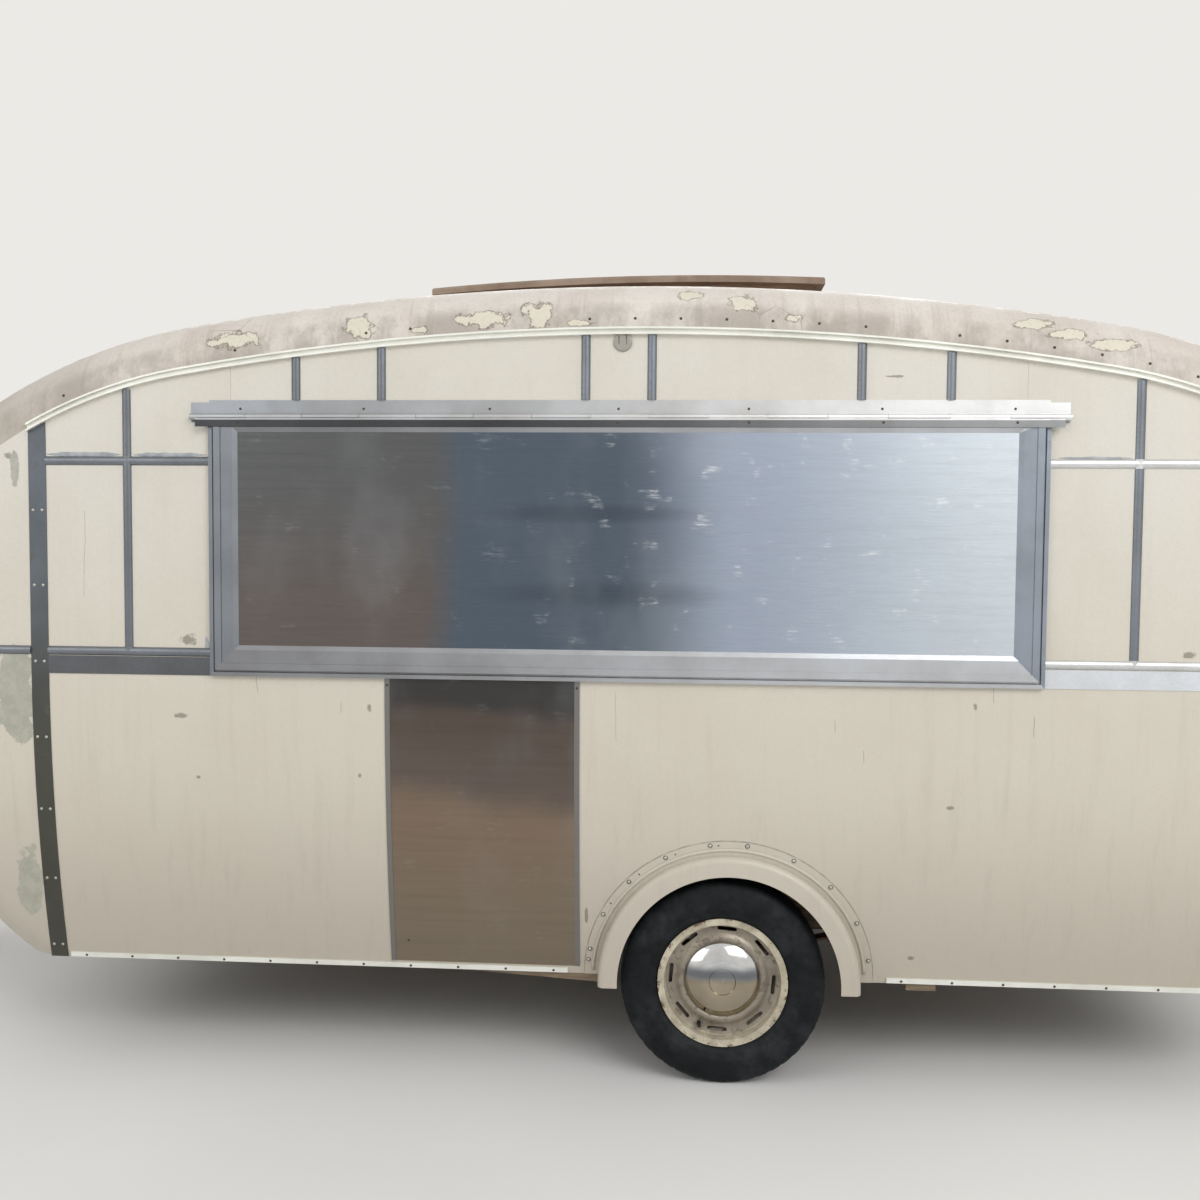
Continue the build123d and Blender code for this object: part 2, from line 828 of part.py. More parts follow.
def knuckles(first, web_y, web_z):
    """Every other knuckle of the hatch hinge, each joined to its leaf by a web."""
    pitch = hatch_hinge_w / hinge_knuckles
    with BuildPart() as rolls:
        for i in range(first, hinge_knuckles, 2):
            x = (hinge_x[0] + i * pitch + knuckle_gap, hinge_x[0] + (i + 1) * pitch - knuckle_gap)
            add(hinge_bar(*x, hatch_hinge_r))
            add(block(x, web_y, web_z))
    return rolls.part


with BuildPart() as hatch_surround:
    plate_y = (-half_width - surround_t, -half_width)
    outer_x = (hatch_left, hatch_right)
    add(block(outer_x, plate_y, (hatch_bottom_z, surround_top_z)))
    upstand_y = (-half_width - surround_proud, -half_width)
    add(block(outer_x, upstand_y, (hatch_bottom_z, surround_top_z)))
    inside_x = (hatch_left + surround_w, hatch_right - surround_w)
    cut_y = (-half_width - surround_proud - 1, -half_width - surround_t)
    add(block(inside_x, cut_y, (hatch_bottom_z + surround_w, roof_z)), mode=Mode.SUBTRACT)
    add(block(opening_x, (-half_width - surround_t, -half_width + wall_t), opening_z))
    clear_x = (opening_x[0] + reveal_t, opening_x[1] - reveal_t)
    clear_z = (opening_z[0] + reveal_t, opening_z[1] - reveal_t)
    add(block(clear_x, through_y, clear_z), mode=Mode.SUBTRACT)
    for z in ((clear_z[0], clear_z[0] + fit_gap), (clear_z[1] - fit_gap, clear_z[1])):
        add(block(outer_x, through_y, z), mode=Mode.SUBTRACT)
    leaf_y = (-half_width - hatch_leaf_t, -half_width)
    add(block(hinge_x, leaf_y, (surround_top_z, hinge_top_z)))
    lip_y = (-half_width - surround_lip_t, -half_width)
    add(block(outer_x, lip_y, (hinge_top_z, hinge_top_z + surround_lip_h)))
    web_z = (hatch_hinge_z - hatch_hinge_r / 2, hatch_hinge_z + hatch_hinge_r / 2)
    add(knuckles(0, (hinge_y, -half_width), web_z))
    add(hinge_bar(*hinge_x, hatch_pin_r))
hatch_surround.part.label = "hatch_surround"

# Hatch flap: a mitred frame round a sunk panel, hung from its own hinge leaf
flap_back_y = -half_width - surround_t - hatch_seat_gap
flap_face_y = flap_back_y - hatch_flap_t
flap_x = (hatch_left + surround_w + hatch_gap, hatch_right - surround_w - hatch_gap)
flap_z = (hatch_bottom_z + surround_w + hatch_gap, surround_top_z)
panel_x = (flap_x[0] + hatch_stile, flap_x[1] - hatch_stile)
panel_z = (flap_z[0] + hatch_bottom_rail, flap_z[1] - hatch_top_rail)
panel_face_y = flap_face_y + hatch_panel_sink
with BuildPart() as hatch_frame:
    add(block(flap_x, (flap_face_y, flap_back_y), flap_z))
    chamfer(hatch_frame.faces().sort_by(Axis.Y)[0].edges(), hatch_outer_bevel)
    inner_x = (flap_x[0] + hatch_rim_w, flap_x[1] - hatch_rim_w)
    inner_z = (flap_z[0] + hatch_rim_w, flap_z[1] - hatch_top_rim_w)
    inner_y = flap_face_y + hatch_rim_step
    add(block(inner_x, (flap_face_y - 1, inner_y), inner_z), mode=Mode.SUBTRACT)
    add(block(panel_x, (flap_face_y - 1, flap_back_y + 1), panel_z), mode=Mode.SUBTRACT)
    inner_face = hatch_frame.faces().filter_by(Axis.Y).sort_by(Axis.Y)[1]
    slope_depth = hatch_panel_sink - hatch_rim_step
    chamfer(inner_face.inner_wires()[0].edges(), hatch_inner_slope, slope_depth, reference=inner_face)
    moving_leaf_x = (hinge_x[0] + moving_leaf_inset, hinge_x[1] - moving_leaf_inset)
    moving_leaf_y = (flap_face_y - hatch_leaf_t, flap_face_y)
    moving_leaf_z = (hatch_hinge_z - moving_leaf_drop, hatch_hinge_z - moving_leaf_top_gap)
    add(block(moving_leaf_x, moving_leaf_y, moving_leaf_z))
    web_z = (hatch_hinge_z - hatch_hinge_r, moving_leaf_z[1])
    add(knuckles(1, (moving_leaf_y[0], hinge_y), web_z))
    add(hinge_bar(*hinge_x, hatch_pin_r + running_gap), mode=Mode.SUBTRACT)
hatch_frame.part.label = "hatch_frame"

with BuildPart() as hatch_panel:
    add(block(panel_x, (panel_face_y, panel_face_y + hatch_panel_t), panel_z))
hatch_panel.part.label = "hatch_panel"

# Panel that fills the old doorway, with a cover strip down each side
with BuildPart() as door_infill:
    plug_x = (infill_span[0] + fit_gap, infill_span[1] - fit_gap)
    plug_z = (infill_bottom_z + fit_gap, hatch_bottom_z - fit_gap)
    add(side_skin(wall_t, infill_proud, *plug_x, *plug_z))
    for edge in infill_span:
        x = (edge - infill_strip_w / 2, edge + infill_strip_w / 2)
        add(side_skin(0, infill_strip_t, *x, *plug_z))
door_infill.part.label = "door_infill"

# Round eye plate whose top is held under the near awning rail, slotted on both sides of its tongue
with BuildPart() as eye_plate:
    with BuildSketch(side_plane(-half_width)):
        with Locations((eye_plate_x, eye_plate_z)):
            Circle(eye_plate_r)
    extrude(amount=eye_plate_t)
    fillet(eye_plate.faces().sort_by(Axis.Y)[0].edges(), eye_plate_t * 0.5)
    for side in (-1, 1):
        x = eye_plate_x + side * eye_slot_x
        slot = (x - eye_slot_w / 2, x + eye_slot_w / 2)
        slot_z = (eye_plate_z - eye_slot_bottom, eye_plate_z + eye_plate_r)
        add(block(slot, (-half_width - strip_w, -half_width + 1), slot_z), mode=Mode.SUBTRACT)
    add(roof_band(rail_top - rail_h, rail_bottom, rail_proud), mode=Mode.SUBTRACT)
eye_plate.part.label = "eye_plate"

# Packers that hang under the foot of each side
foot_y = half_width - side_inset(skirt_z) - packer_inset
with BuildPart() as foot_packers:
    for x_low, depth_low, x_high, depth_high in packer_outlines:
        with BuildSketch(side_plane(-foot_y + packer_t)):
            Polygon(
                (x_low, skirt_z),
                (x_high, skirt_z),
                (x_high, skirt_z - depth_high),
                (x_low, skirt_z - depth_low),
                align=None,
            )
        extrude(amount=packer_t)
    mirror(about=Plane.XZ)
foot_packers.part.label = "foot_packers"


spat_place = (axle_aft + spat_lag, spat_z)


def spat_drum(radius, back_y, face_y, rounding):
    """A round-edged drum on the spat's centre, from one distance off the middle to another."""
    with BuildPart() as drum:
        with BuildSketch(side_plane(-back_y)):
            with Locations(spat_place):
                Circle(radius)
        extrude(amount=face_y - back_y)
        fillet(drum.faces().sort_by(Axis.Y)[0].edges(), rounding)
    return drum.part


def spat():
    """The near wheel-arch spat: a flange on the wall, a proud ridge and an upright face."""
    back_y = half_width - tuck
    ends = (spat_place[0] - spat_flange_r - 1, spat_place[0] + spat_flange_r + 1)
    with BuildPart() as flange:
        add(side_skin(0, spat_t, *ends, skirt_z, roof_z))
        with BuildSketch(side_plane(-half_width / 2)):
            with Locations(spat_place):
                Circle(spat_flange_r)
                Circle(spat_ridge_r - spat_t, mode=Mode.SUBTRACT)
        extrude(amount=half_width + spat_t, mode=Mode.INTERSECT)
    with BuildPart() as whole:
        add(spat_drum(spat_ridge_r, back_y, spat_y, spat_ridge_round))
        core = spat_drum(spat_ridge_r - spat_t, back_y - 1, spat_y - spat_t, spat_ridge_round - spat_t)
        add(core, mode=Mode.SUBTRACT)
        with BuildSketch(side_plane(-half_width / 2)):
            with Locations(spat_place):
                Circle(spat_open_r)
        extrude(amount=half_width, mode=Mode.SUBTRACT)
        extrude(section(0, -half_length), amount=body_length, mode=Mode.SUBTRACT)
        foot = block(ends, (-half_width - 1, -half_width / 2), (spat_bottom_z, roof_z))
        add(foot, mode=Mode.INTERSECT)
        add(flange.part)
    return whole.part


with BuildPart() as spat_near:
    add(spat())
spat_near.part.label = "spat_near"

with BuildPart() as spat_off:
    add(off_side(spat_near.part))
spat_off.part.label = "spat_off"

# Off-side door: a leaf as thick as the wall with an outer skin that laps the wall
leaf_span = (door_span[0] + door_gap, door_span[1] - door_gap)
leaf_z = (door_bottom_z + door_gap / 2, door_top_z - door_gap / 2)
skin_span = (leaf_span[0] - door_lap, leaf_span[1] + door_lap)
skin_z = (leaf_z[0] - door_lap / 2, leaf_z[1] + door_lap)
with BuildPart() as door:
    add(off_side(side_skin(wall_t, 0, *leaf_span, *leaf_z)))
    face_skin = side_skin(-door_seat_gap, door_seat_gap + door_skin_t, *skin_span, *skin_z)
    add(off_side(face_skin))
    infill_gap = side_skin(0, door_seat_gap, *leaf_span, *leaf_z)
    add(off_side(infill_gap))
    hole = rounded_hole(side_plane(half_width), door_x, window_mid_z, door_window_w, window_h, wall_t + 5)
    add(hole, mode=Mode.SUBTRACT)
door.part.label = "door"

# Hinges: knuckle and wall plate fixed to the side, knuckle ears and plate on the door
hinge_line_x = skin_span[0] - door_hinge_r - 2
hinge_line_y = half_width + door_seat_gap + door_skin_t + door_hinge_r
knuckle_h = door_hinge_h / 3


def round_bar(x, y, z_low, z_high, radius):
    with BuildPart() as bar:
        with BuildSketch(level_plane(z_low)):
            with Locations((x, y)):
                Circle(radius)
        extrude(amount=z_high - z_low)
    return bar.part


with BuildPart() as door_hinges:
    for z in door_hinge_zs:
        add(round_bar(hinge_line_x, hinge_line_y, z - knuckle_h / 2, z + knuckle_h / 2, door_hinge_r))
        x = (hinge_line_x - 2 * door_hinge_r - 10, hinge_line_x)
        add(block(x, (half_width - tuck, hinge_line_y), (z - knuckle_h / 2, z + knuckle_h / 2)))
    extrude(section(0, -half_length), amount=body_length, mode=Mode.SUBTRACT)
    bore = round_bar(hinge_line_x, hinge_line_y, skirt_z, roof_z, door_pin_r + running_gap)
    add(bore, mode=Mode.SUBTRACT)
door_hinges.part.label = "door_hinges"

skin_face = half_width + door_seat_gap + door_skin_t
with BuildPart() as door_furniture:
    for z in door_hinge_zs:
        for side in (-1, 1):
            low, high = sorted((z + side * (knuckle_h / 2 + 1), z + side * door_hinge_h / 2))
            add(round_bar(hinge_line_x, hinge_line_y, low, high, door_hinge_r))
            x = (hinge_line_x, skin_span[0] + hinge_leaf_w)
            add(block(x, (half_width - tuck, hinge_line_y - 2), (low, high)))
        ends_z = (z - door_hinge_h / 2, z + door_hinge_h / 2)
        add(round_bar(hinge_line_x, hinge_line_y, *ends_z, door_pin_r))
    frame_plane = side_plane(skin_face + window_frame_proud)
    with BuildSketch(frame_plane):
        with Locations((door_x, window_mid_z)):
            outer_r = window_corner_r + window_frame_w
            RectangleRounded(door_window_w + 2 * window_frame_w, window_h + 2 * window_frame_w, outer_r)
            lip_r = window_corner_r - glass_lip
            lip_size = (door_window_w - 2 * glass_lip, window_h - 2 * glass_lip)
            RectangleRounded(*lip_size, lip_r, mode=Mode.SUBTRACT)
    extrude(amount=window_frame_proud)
    handle_x = skin_span[1] - handle_inset
    with BuildSketch(side_plane(skin_face + handle_plate_t)):
        with Locations((handle_x, door_handle_z)):
            RectangleRounded(*handle_plate)
    extrude(amount=handle_plate_t + tuck)
    extrude(section(-door_seat_gap - door_skin_t, -half_length), amount=body_length, mode=Mode.SUBTRACT)
    grip_z = door_handle_z + handle_lift
    with BuildSketch(side_plane(skin_face + handle_reach)):
        with Locations((handle_x, grip_z)):
            Circle(handle_spindle_r)
    extrude(amount=handle_reach)
    with BuildSketch(side_plane(skin_face + handle_reach + handle_t)):
        with Locations((handle_x - handle_bar_out, grip_z)):
            RectangleRounded(*handle_bar)
    extrude(amount=handle_t)
door_furniture.part.label = "door_furniture"

with BuildPart() as door_glass:
    with BuildSketch(side_plane(half_width - glass_sink)):
        with Locations((door_x, window_mid_z)):
            RectangleRounded(door_window_w - fit_gap, window_h - fit_gap, window_corner_r - fit_gap / 2)
    extrude(amount=glass_t)
door_glass.part.label = "door_glass"


def window_frame(plane, x, z, width, height):
    """An outside frame that covers a window's edge and turns in to hold its glass."""
    outer_r = window_corner_r + window_frame_w
    lip = (width - 2 * glass_lip, height - 2 * glass_lip, window_corner_r - glass_lip)
    with BuildPart() as frame:
        with BuildSketch(plane):
            with Locations((x, z)):
                RectangleRounded(width + 2 * window_frame_w, height + 2 * window_frame_w, outer_r)
                RectangleRounded(*lip, mode=Mode.SUBTRACT)
        extrude(amount=window_frame_proud)
        outward_axis = Axis(plane.origin, plane.z_dir)
        fillet(frame.faces().sort_by(outward_axis)[-1].outer_wire().edges(), window_frame_proud * 0.5)
        with BuildSketch(plane):
            with Locations((x, z)):
                RectangleRounded(width, height, window_corner_r)
                RectangleRounded(*lip, mode=Mode.SUBTRACT)
        extrude(amount=-glass_sink)
    return frame.part


def window_pane(plane, x, z, width, height):
    with BuildPart() as pane:
        with BuildSketch(plane.offset(-glass_sink)):
            with Locations((x, z)):
                RectangleRounded(width, height, window_corner_r)
        extrude(amount=-glass_t)
    return pane.part


def outward(plane):
    """The same plane facing the off side, so that local x runs to the front."""
    return Plane(origin=plane.origin, x_dir=-plane.x_dir, z_dir=-plane.z_dir)


off_face = outward(side_plane(half_width))
front_face = outward(cross_plane(-half_length))
rear_face = cross_plane(half_length)
all_windows = [(off_face, -x, window_mid_z, width, window_h) for x, width in side_windows]
all_windows += [(face, 0, end_windows_z, end_window_w, end_window_h) for face in (front_face, rear_face)]
with BuildPart() as window_frames:
    for window in all_windows:
        add(window_frame(*window))
window_frames.part.label = "window_frames"

with BuildPart() as window_glass:
    for window in all_windows:
        add(window_pane(*window))
    for x in light_xs:
        for side in (-1, 1):
            y = sorted((side * (curb_half - curb_t / 2), side * (curb_half - curb_t / 2 + glass_t)))
            span = (x - curb_light_l / 2, x + curb_light_l / 2)
            add(block(span, y, (light_z - curb_light_h / 2, light_z + curb_light_h / 2)))
window_glass.part.label = "window_glass"

# Tail lamps on the flat of the rear wall
with BuildPart() as tail_lamps:
    with BuildSketch(rear_face):
        with Locations((-tail_lamp_y, tail_lamp_z), (tail_lamp_y, tail_lamp_z)):
            Circle(tail_lamp_r)
    extrude(amount=tail_lamp_proud)
    fillet(tail_lamps.faces().filter_by(Axis.X).group_by(Axis.X)[-1].edges(), tail_lamp_proud * 0.5)
tail_lamps.part.label = "tail_lamps"


def channel_face(facing):
    """A channel's section, its web towards -facing along local x."""
    with BuildSketch() as face:
        Rectangle(chassis_w, chassis_h)
        with Locations((facing * chassis_t, 0)):
            Rectangle(chassis_w, chassis_h - 2 * chassis_t, mode=Mode.SUBTRACT)
    return face.sketch


# Springs' eyes and pins, which the chassis hangers share
rail_mid_y = chassis_y - chassis_w / 2
eye_z = frame_z - chassis_h - eye_drop
leaf_top_z = axle_z - axle_r
spring_sag = eye_z - (leaf_top_z - leaf_t / 2)
spring_arc_r = (spring_half**2 + spring_sag**2) / (2 * spring_sag)
cheek_in = spring_w / 2 + hanger_gap
steady_cheek = steady_w / 2 + hanger_gap

with BuildPart() as near_frame:
    rail_end = (body_x - chassis_end_x, -rail_mid_y, frame_z - chassis_h / 2)
    with BuildSketch(Plane(origin=rail_end, x_dir=(0, 1, 0), z_dir=(1, 0, 0))):
        add(channel_face(1))
    extrude(amount=2 * chassis_end_x)
    with BuildSketch(arm_plane()):
        add(channel_face(-1))
    extrude(amount=arm_length)
    for x in cross_xs:
        add(block((x - cross_w / 2, x + cross_w / 2), (-rail_mid_y, 0), (frame_z - cross_w, frame_z)))
    for side in (-1, 1):
        x = side * steady_x
        outrigger_y = (-steady_y - steady_cheek - hanger_t, -rail_mid_y)
        add(block((x - cross_w / 2, x + cross_w / 2), outrigger_y, (frame_z - cross_w / 2, frame_z)))
        for y in (-steady_y - steady_cheek - hanger_t, -steady_y + steady_cheek):
            cheek_z = (steady_z - 2 * steady_pin_r, frame_z)
            add(block((x - cross_w / 2, x + cross_w / 2), (y, y + hanger_t), cheek_z))
        with BuildSketch(side_plane(-steady_y + steady_cheek)):
            with Locations((x, steady_z)):
                Circle(steady_pin_r)
        extrude(amount=2 * steady_cheek)
        x = axle_aft + side * spring_half
        saddle_z = (frame_z - chassis_h - hanger_t, frame_z - chassis_h)
        saddle_y = (-spring_y - cheek_in - hanger_t, -spring_y + cheek_in + hanger_t)
        add(block((x - spring_eye_r, x + spring_eye_r), saddle_y, saddle_z))
        for y in (saddle_y[0], saddle_y[1] - hanger_t):
            hanger_z = (eye_z - spring_eye_r, saddle_z[0])
            add(block((x - spring_eye_r, x + spring_eye_r), (y, y + hanger_t), hanger_z))
        with BuildSketch(side_plane(-spring_y + cheek_in)):
            with Locations((x, eye_z)):
                Circle(spring_pin_r)
        extrude(amount=2 * cheek_in)

with BuildPart() as chassis:
    add(near_frame.part)
    mirror(about=Plane.XZ)
    apex_x = (arm_tip_x, arm_tip_x + apex_length)
    apex_half = arm_tip_y + apex_length * sin(radians(arm_angle))
    with BuildSketch(level_plane(frame_z)):
        with BuildLine():
            Polyline(
                (apex_x[0], -arm_tip_y - chassis_w / 2),
                (apex_x[1], -apex_half - chassis_w / 2),
                (apex_x[1], apex_half + chassis_w / 2),
                (apex_x[0], arm_tip_y + chassis_w / 2),
                close=True,
            )
        make_face()
    extrude(amount=apex_t)
chassis.part.label = "chassis"

# Coupling head, draw tube, overrun housing and handbrake lever in one piece
nose_x = -half_length - drawbar_reach
head_x = (nose_x, nose_x + coupling_length)
housing_x = (arm_tip_x, arm_tip_x + housing_length)
housing_z = (frame_z + apex_t, frame_z + apex_t + housing_h)
socket_x = nose_x + coupling_w / 2
head_bottom_z = coupling_z - coupling_h / 2


def link(plane_y, depth, foot, length, angle, width):
    """A flat bar with round ends, from its foot at an angle counted from upright."""
    middle = turned(foot, length / 2, angle)
    with BuildPart() as bar:
        with BuildSketch(side_plane(plane_y)):
            with Locations(Location((*middle, 0), (0, 0, 90 - angle))):
                SlotCenterToCenter(length, width)
        extrude(amount=depth)
    return bar.part


with BuildPart() as coupling:
    with BuildSketch(level_plane(head_bottom_z)):
        with Locations((nose_x + coupling_length / 2, 0)):
            SlotOverall(coupling_length, coupling_w)
    extrude(amount=coupling_h)
    fillet(coupling.faces().sort_by(Axis.Z)[-1].edges(), coupling_h * 0.3)
    with BuildSketch(cross_plane(head_x[1] - coupling_w / 2)):
        with Locations((0, coupling_z)):
            Circle(drawtube_r)
    extrude(amount=housing_x[0] - head_x[1] + coupling_w)
    add(block(housing_x, (-housing_w / 2, housing_w / 2), housing_z))
    with BuildSketch(level_plane(head_bottom_z)):
        with Locations((socket_x, 0)):
            Circle(ball_r)
    extrude(amount=socket_depth, mode=Mode.SUBTRACT)
    latch_foot = (head_x[0] + coupling_length * 0.55, coupling_z + coupling_h / 2)
    add(link(latch_w / 2, latch_w, latch_foot, latch_length, latch_angle, latch_t))
    lever_foot = (housing_x[1] - lever_inset, (housing_z[0] + housing_z[1]) / 2)
    add(link(housing_w / 2 + lever_t, lever_t, lever_foot, lever_length, lever_angle, lever_w))
    grip_foot = turned(lever_foot, lever_length - grip_length, lever_angle)
    add(link(housing_w / 2 + grip_t, grip_t, grip_foot, grip_length, lever_angle, grip_w))
coupling.part.label = "coupling"

# Jockey wheel: clamped outer tube, sliding stem, castoring fork and wheel
arm_slope = tan(radians(arm_angle))
arm_y_at_jockey = arm_tip_y + (jockey_x - arm_tip_x) * arm_slope
jockey_y = -(arm_y_at_jockey + jockey_standoff)
tube_bore = jockey_tube_r - jockey_tube_t
stem_r = tube_bore - stem_gap
clamp_z = (frame_z - chassis_h / 2 - clamp_h / 2, frame_z - chassis_h / 2 + clamp_h / 2)
jockey_place = (jockey_x, jockey_y)


def upright_rod(place, radius, z_low, z_high, bore=0):
    """A round bar or tube standing on a level plane."""
    with BuildPart() as rod:
        with BuildSketch(level_plane(z_low)):
            with Locations(place):
                Circle(radius)
                if bore:
                    Circle(bore, mode=Mode.SUBTRACT)
        extrude(amount=z_high - z_low)
    return rod.part


with BuildPart() as jockey_clamp:
    along_arm = (cos(radians(arm_angle)), -sin(radians(arm_angle)), 0)
    arm_place = (body_x + jockey_x, -arm_y_at_jockey, clamp_z[0])
    arm_side = Plane(origin=arm_place, x_dir=along_arm, z_dir=(0, 0, 1))
    with BuildSketch(arm_side):
        reach = jockey_standoff * cos(radians(arm_angle)) - chassis_w / 2
        with Locations((0, -chassis_w / 2 - reach / 2)):
            Rectangle(clamp_h, reach)
    extrude(amount=clamp_h)
    add(upright_rod(jockey_place, jockey_tube_r + clamp_t, *clamp_z))
    add(upright_rod(jockey_place, jockey_tube_r, jockey_tube_bottom_z, jockey_tube_top_z))
    bore = upright_rod(jockey_place, tube_bore, jockey_tube_bottom_z - 1, jockey_tube_top_z - jockey_tube_t)
    add(bore, mode=Mode.SUBTRACT)
    crank_z = jockey_tube_top_z + crank_rise
    add(upright_rod(jockey_place, crank_r, jockey_tube_top_z, crank_z))
    crank_x = (jockey_x - crank_r, jockey_x + crank_reach)
    add(block(crank_x, (jockey_y - crank_r, jockey_y + crank_r), (crank_z - crank_r, crank_z)))
    knob_place = (jockey_x + crank_reach - crank_r, jockey_y)
    add(upright_rod(knob_place, crank_r, crank_z - crank_r, crank_z + crank_grip))
jockey_clamp.part.label = "jockey_clamp"

with BuildPart() as jockey_stem:
    collar_z = (fork_top_z + swivel_gap, fork_top_z + swivel_gap + fork_t)
    add(upright_rod(jockey_place, stem_r, collar_z[0], stem_top_z))
    add(upright_rod(jockey_place, jockey_tube_r + clamp_t / 2, *collar_z))
    bore_top_z = fork_top_z + fork_pin_l + 1
    pin_bore = upright_rod(jockey_place, fork_pin_r + running_gap, collar_z[0] - 1, bore_top_z)
    add(pin_bore, mode=Mode.SUBTRACT)
jockey_stem.part.label = "jockey_stem"

wheel_place = (jockey_x + jockey_trail, jockey_wheel_r)
fork_in = jockey_wheel_w / 2 + fork_side_gap
with BuildPart() as jockey_fork:
    top_x = (jockey_x - jockey_tube_r - clamp_t, wheel_place[0] + fork_w / 2)
    fork_y = (jockey_y - fork_in - fork_t, jockey_y + fork_in + fork_t)
    add(block(top_x, fork_y, (fork_top_z - fork_t, fork_top_z)))
    add(upright_rod(jockey_place, fork_pin_r, fork_top_z - fork_t, fork_top_z + fork_pin_l))
    for y in (fork_y[0], fork_y[1] - fork_t):
        with BuildSketch(side_plane(y + fork_t)):
            with BuildLine():
                Polyline(
                    (top_x[0], fork_top_z),
                    (top_x[1], fork_top_z),
                    (wheel_place[0] + fork_w / 2, wheel_place[1]),
                    (wheel_place[0] - fork_w / 2, wheel_place[1]),
                    close=True,
                )
            make_face()
            with Locations(wheel_place):
                Circle(fork_w / 2)
        extrude(amount=fork_t)
    with BuildSketch(side_plane(fork_y[1])):
        with Locations(wheel_place):
            Circle(jockey_axle_r)
    extrude(amount=fork_y[1] - fork_y[0])
jockey_fork.part.label = "jockey_fork"

with BuildPart() as jockey_wheel:
    with BuildSketch(side_plane(jockey_y + jockey_wheel_w / 2)):
        with Locations(wheel_place):
            Circle(jockey_wheel_r)
    extrude(amount=jockey_wheel_w)
    fillet(jockey_wheel.edges().filter_by(GeomType.CIRCLE), jockey_wheel_w * 0.3)
    with BuildSketch(side_plane(jockey_y + jockey_wheel_w / 2 + 1)):
        with Locations(wheel_place):
            Circle(jockey_axle_r + running_gap)
    extrude(amount=jockey_wheel_w + 2, mode=Mode.SUBTRACT)
    for face_y in (jockey_y + jockey_wheel_w / 2 + 1, jockey_y - jockey_wheel_w / 2 + hub_sink):
        with BuildSketch(side_plane(face_y)):
            with Locations(wheel_place):
                Circle(jockey_wheel_r * 0.6)
                Circle(jockey_axle_r * 2.4, mode=Mode.SUBTRACT)
        extrude(amount=hub_sink + 1, mode=Mode.SUBTRACT)
jockey_wheel.part.label = "jockey_wheel"

# Axle beam with its brake back plates and spindles
spindle_end_y = hub_face_y - hub_flange_t
plate_y = drum_inner_y - plate_t - hub_gap


def wheel_bar(y_low, y_high, radius, bore=0):
    """A round bar or ring on the wheels' axis between two distances from the middle."""
    with BuildPart() as bar:
        with BuildSketch(side_plane(-y_low)):
            with Locations((axle_aft, axle_z)):
                Circle(radius)
                if bore:
                    Circle(bore, mode=Mode.SUBTRACT)
        extrude(amount=y_high - y_low)
    return bar.part


with BuildPart() as axle:
    add(wheel_bar(0, plate_y, axle_r))
    add(wheel_bar(plate_y, plate_y + plate_t, drum_r))
    add(wheel_bar(plate_y + plate_t, spindle_end_y, spindle_r))
    mirror(about=Plane.XZ)
axle.part.label = "axle"

# Leaf springs slung under the axle, with their clamp plates and bolts
with BuildPart() as springs:
    arc_centre = (axle_aft, leaf_top_z - leaf_t / 2 + spring_arc_r)
    full_angle = degrees(asin(spring_half / spring_arc_r))
    with BuildSketch(side_plane(-spring_y + spring_w / 2)):
        for i, reach in enumerate(leaf_reaches):
            half_angle = full_angle * reach
            inner_r = spring_arc_r + (i - 0.5) * leaf_t
            with BuildLine():
                inner = CenterArc(arc_centre, inner_r, 270 - half_angle, 2 * half_angle)
                outer = CenterArc(arc_centre, inner_r + leaf_t, 270 - half_angle, 2 * half_angle)
                Line(inner @ 0, outer @ 0)
                Line(inner @ 1, outer @ 1)
            make_face()
        with Locations((axle_aft - spring_half, eye_z), (axle_aft + spring_half, eye_z)):
            Circle(spring_eye_r)
            Circle(spring_pin_r + running_gap, mode=Mode.SUBTRACT)
    extrude(amount=spring_w)
    pack_bottom_z = leaf_top_z - len(leaf_reaches) * leaf_t
    bolt_x = axle_r + u_bolt_r + 1
    bolt_y = spring_w / 2 + u_bolt_r + 1
    plate_x = (axle_aft - bolt_x - 2 * u_bolt_r, axle_aft + bolt_x + 2 * u_bolt_r)
    clamp_y = (-spring_y - bolt_y - 2 * u_bolt_r, -spring_y + bolt_y + 2 * u_bolt_r)
    add(block(plate_x, clamp_y, (pack_bottom_z - leaf_t, pack_bottom_z + clamp_seat)))
    add(block(plate_x, clamp_y, (axle_z + axle_r, axle_z + axle_r + u_plate_t)))
    for x in (axle_aft - bolt_x, axle_aft + bolt_x):
        for y in (-spring_y - bolt_y, -spring_y + bolt_y):
            add(upright_rod((x, y), u_bolt_r, pack_bottom_z - leaf_t, axle_z + axle_r + u_plate_t))
    mirror(about=Plane.XZ)
springs.part.label = "springs"


def hub():
    """The near hub: an open drum, a barrel on the spindle and the wheel's seat."""
    with BuildPart() as body:
        add(wheel_bar(drum_inner_y, drum_inner_y + drum_w, drum_r, drum_r - drum_t))
        add(wheel_bar(drum_inner_y + drum_w - drum_t, drum_inner_y + drum_w, drum_r))
        add(wheel_bar(drum_inner_y + drum_t, hub_face_y, hub_r))
        add(wheel_bar(hub_face_y - hub_flange_t, hub_face_y, hub_flange_r))
        bore = wheel_bar(drum_inner_y - 1, spindle_end_y + 1, spindle_r + running_gap)
        add(bore, mode=Mode.SUBTRACT)
    return body.part


wheel_axis = Axis((body_x + axle_aft, 0, axle_z), (0, 1, 0))
wheel_section = Plane(origin=wheel_axis.position, x_dir=(0, -1, 0), z_dir=(-1, 0, 0))


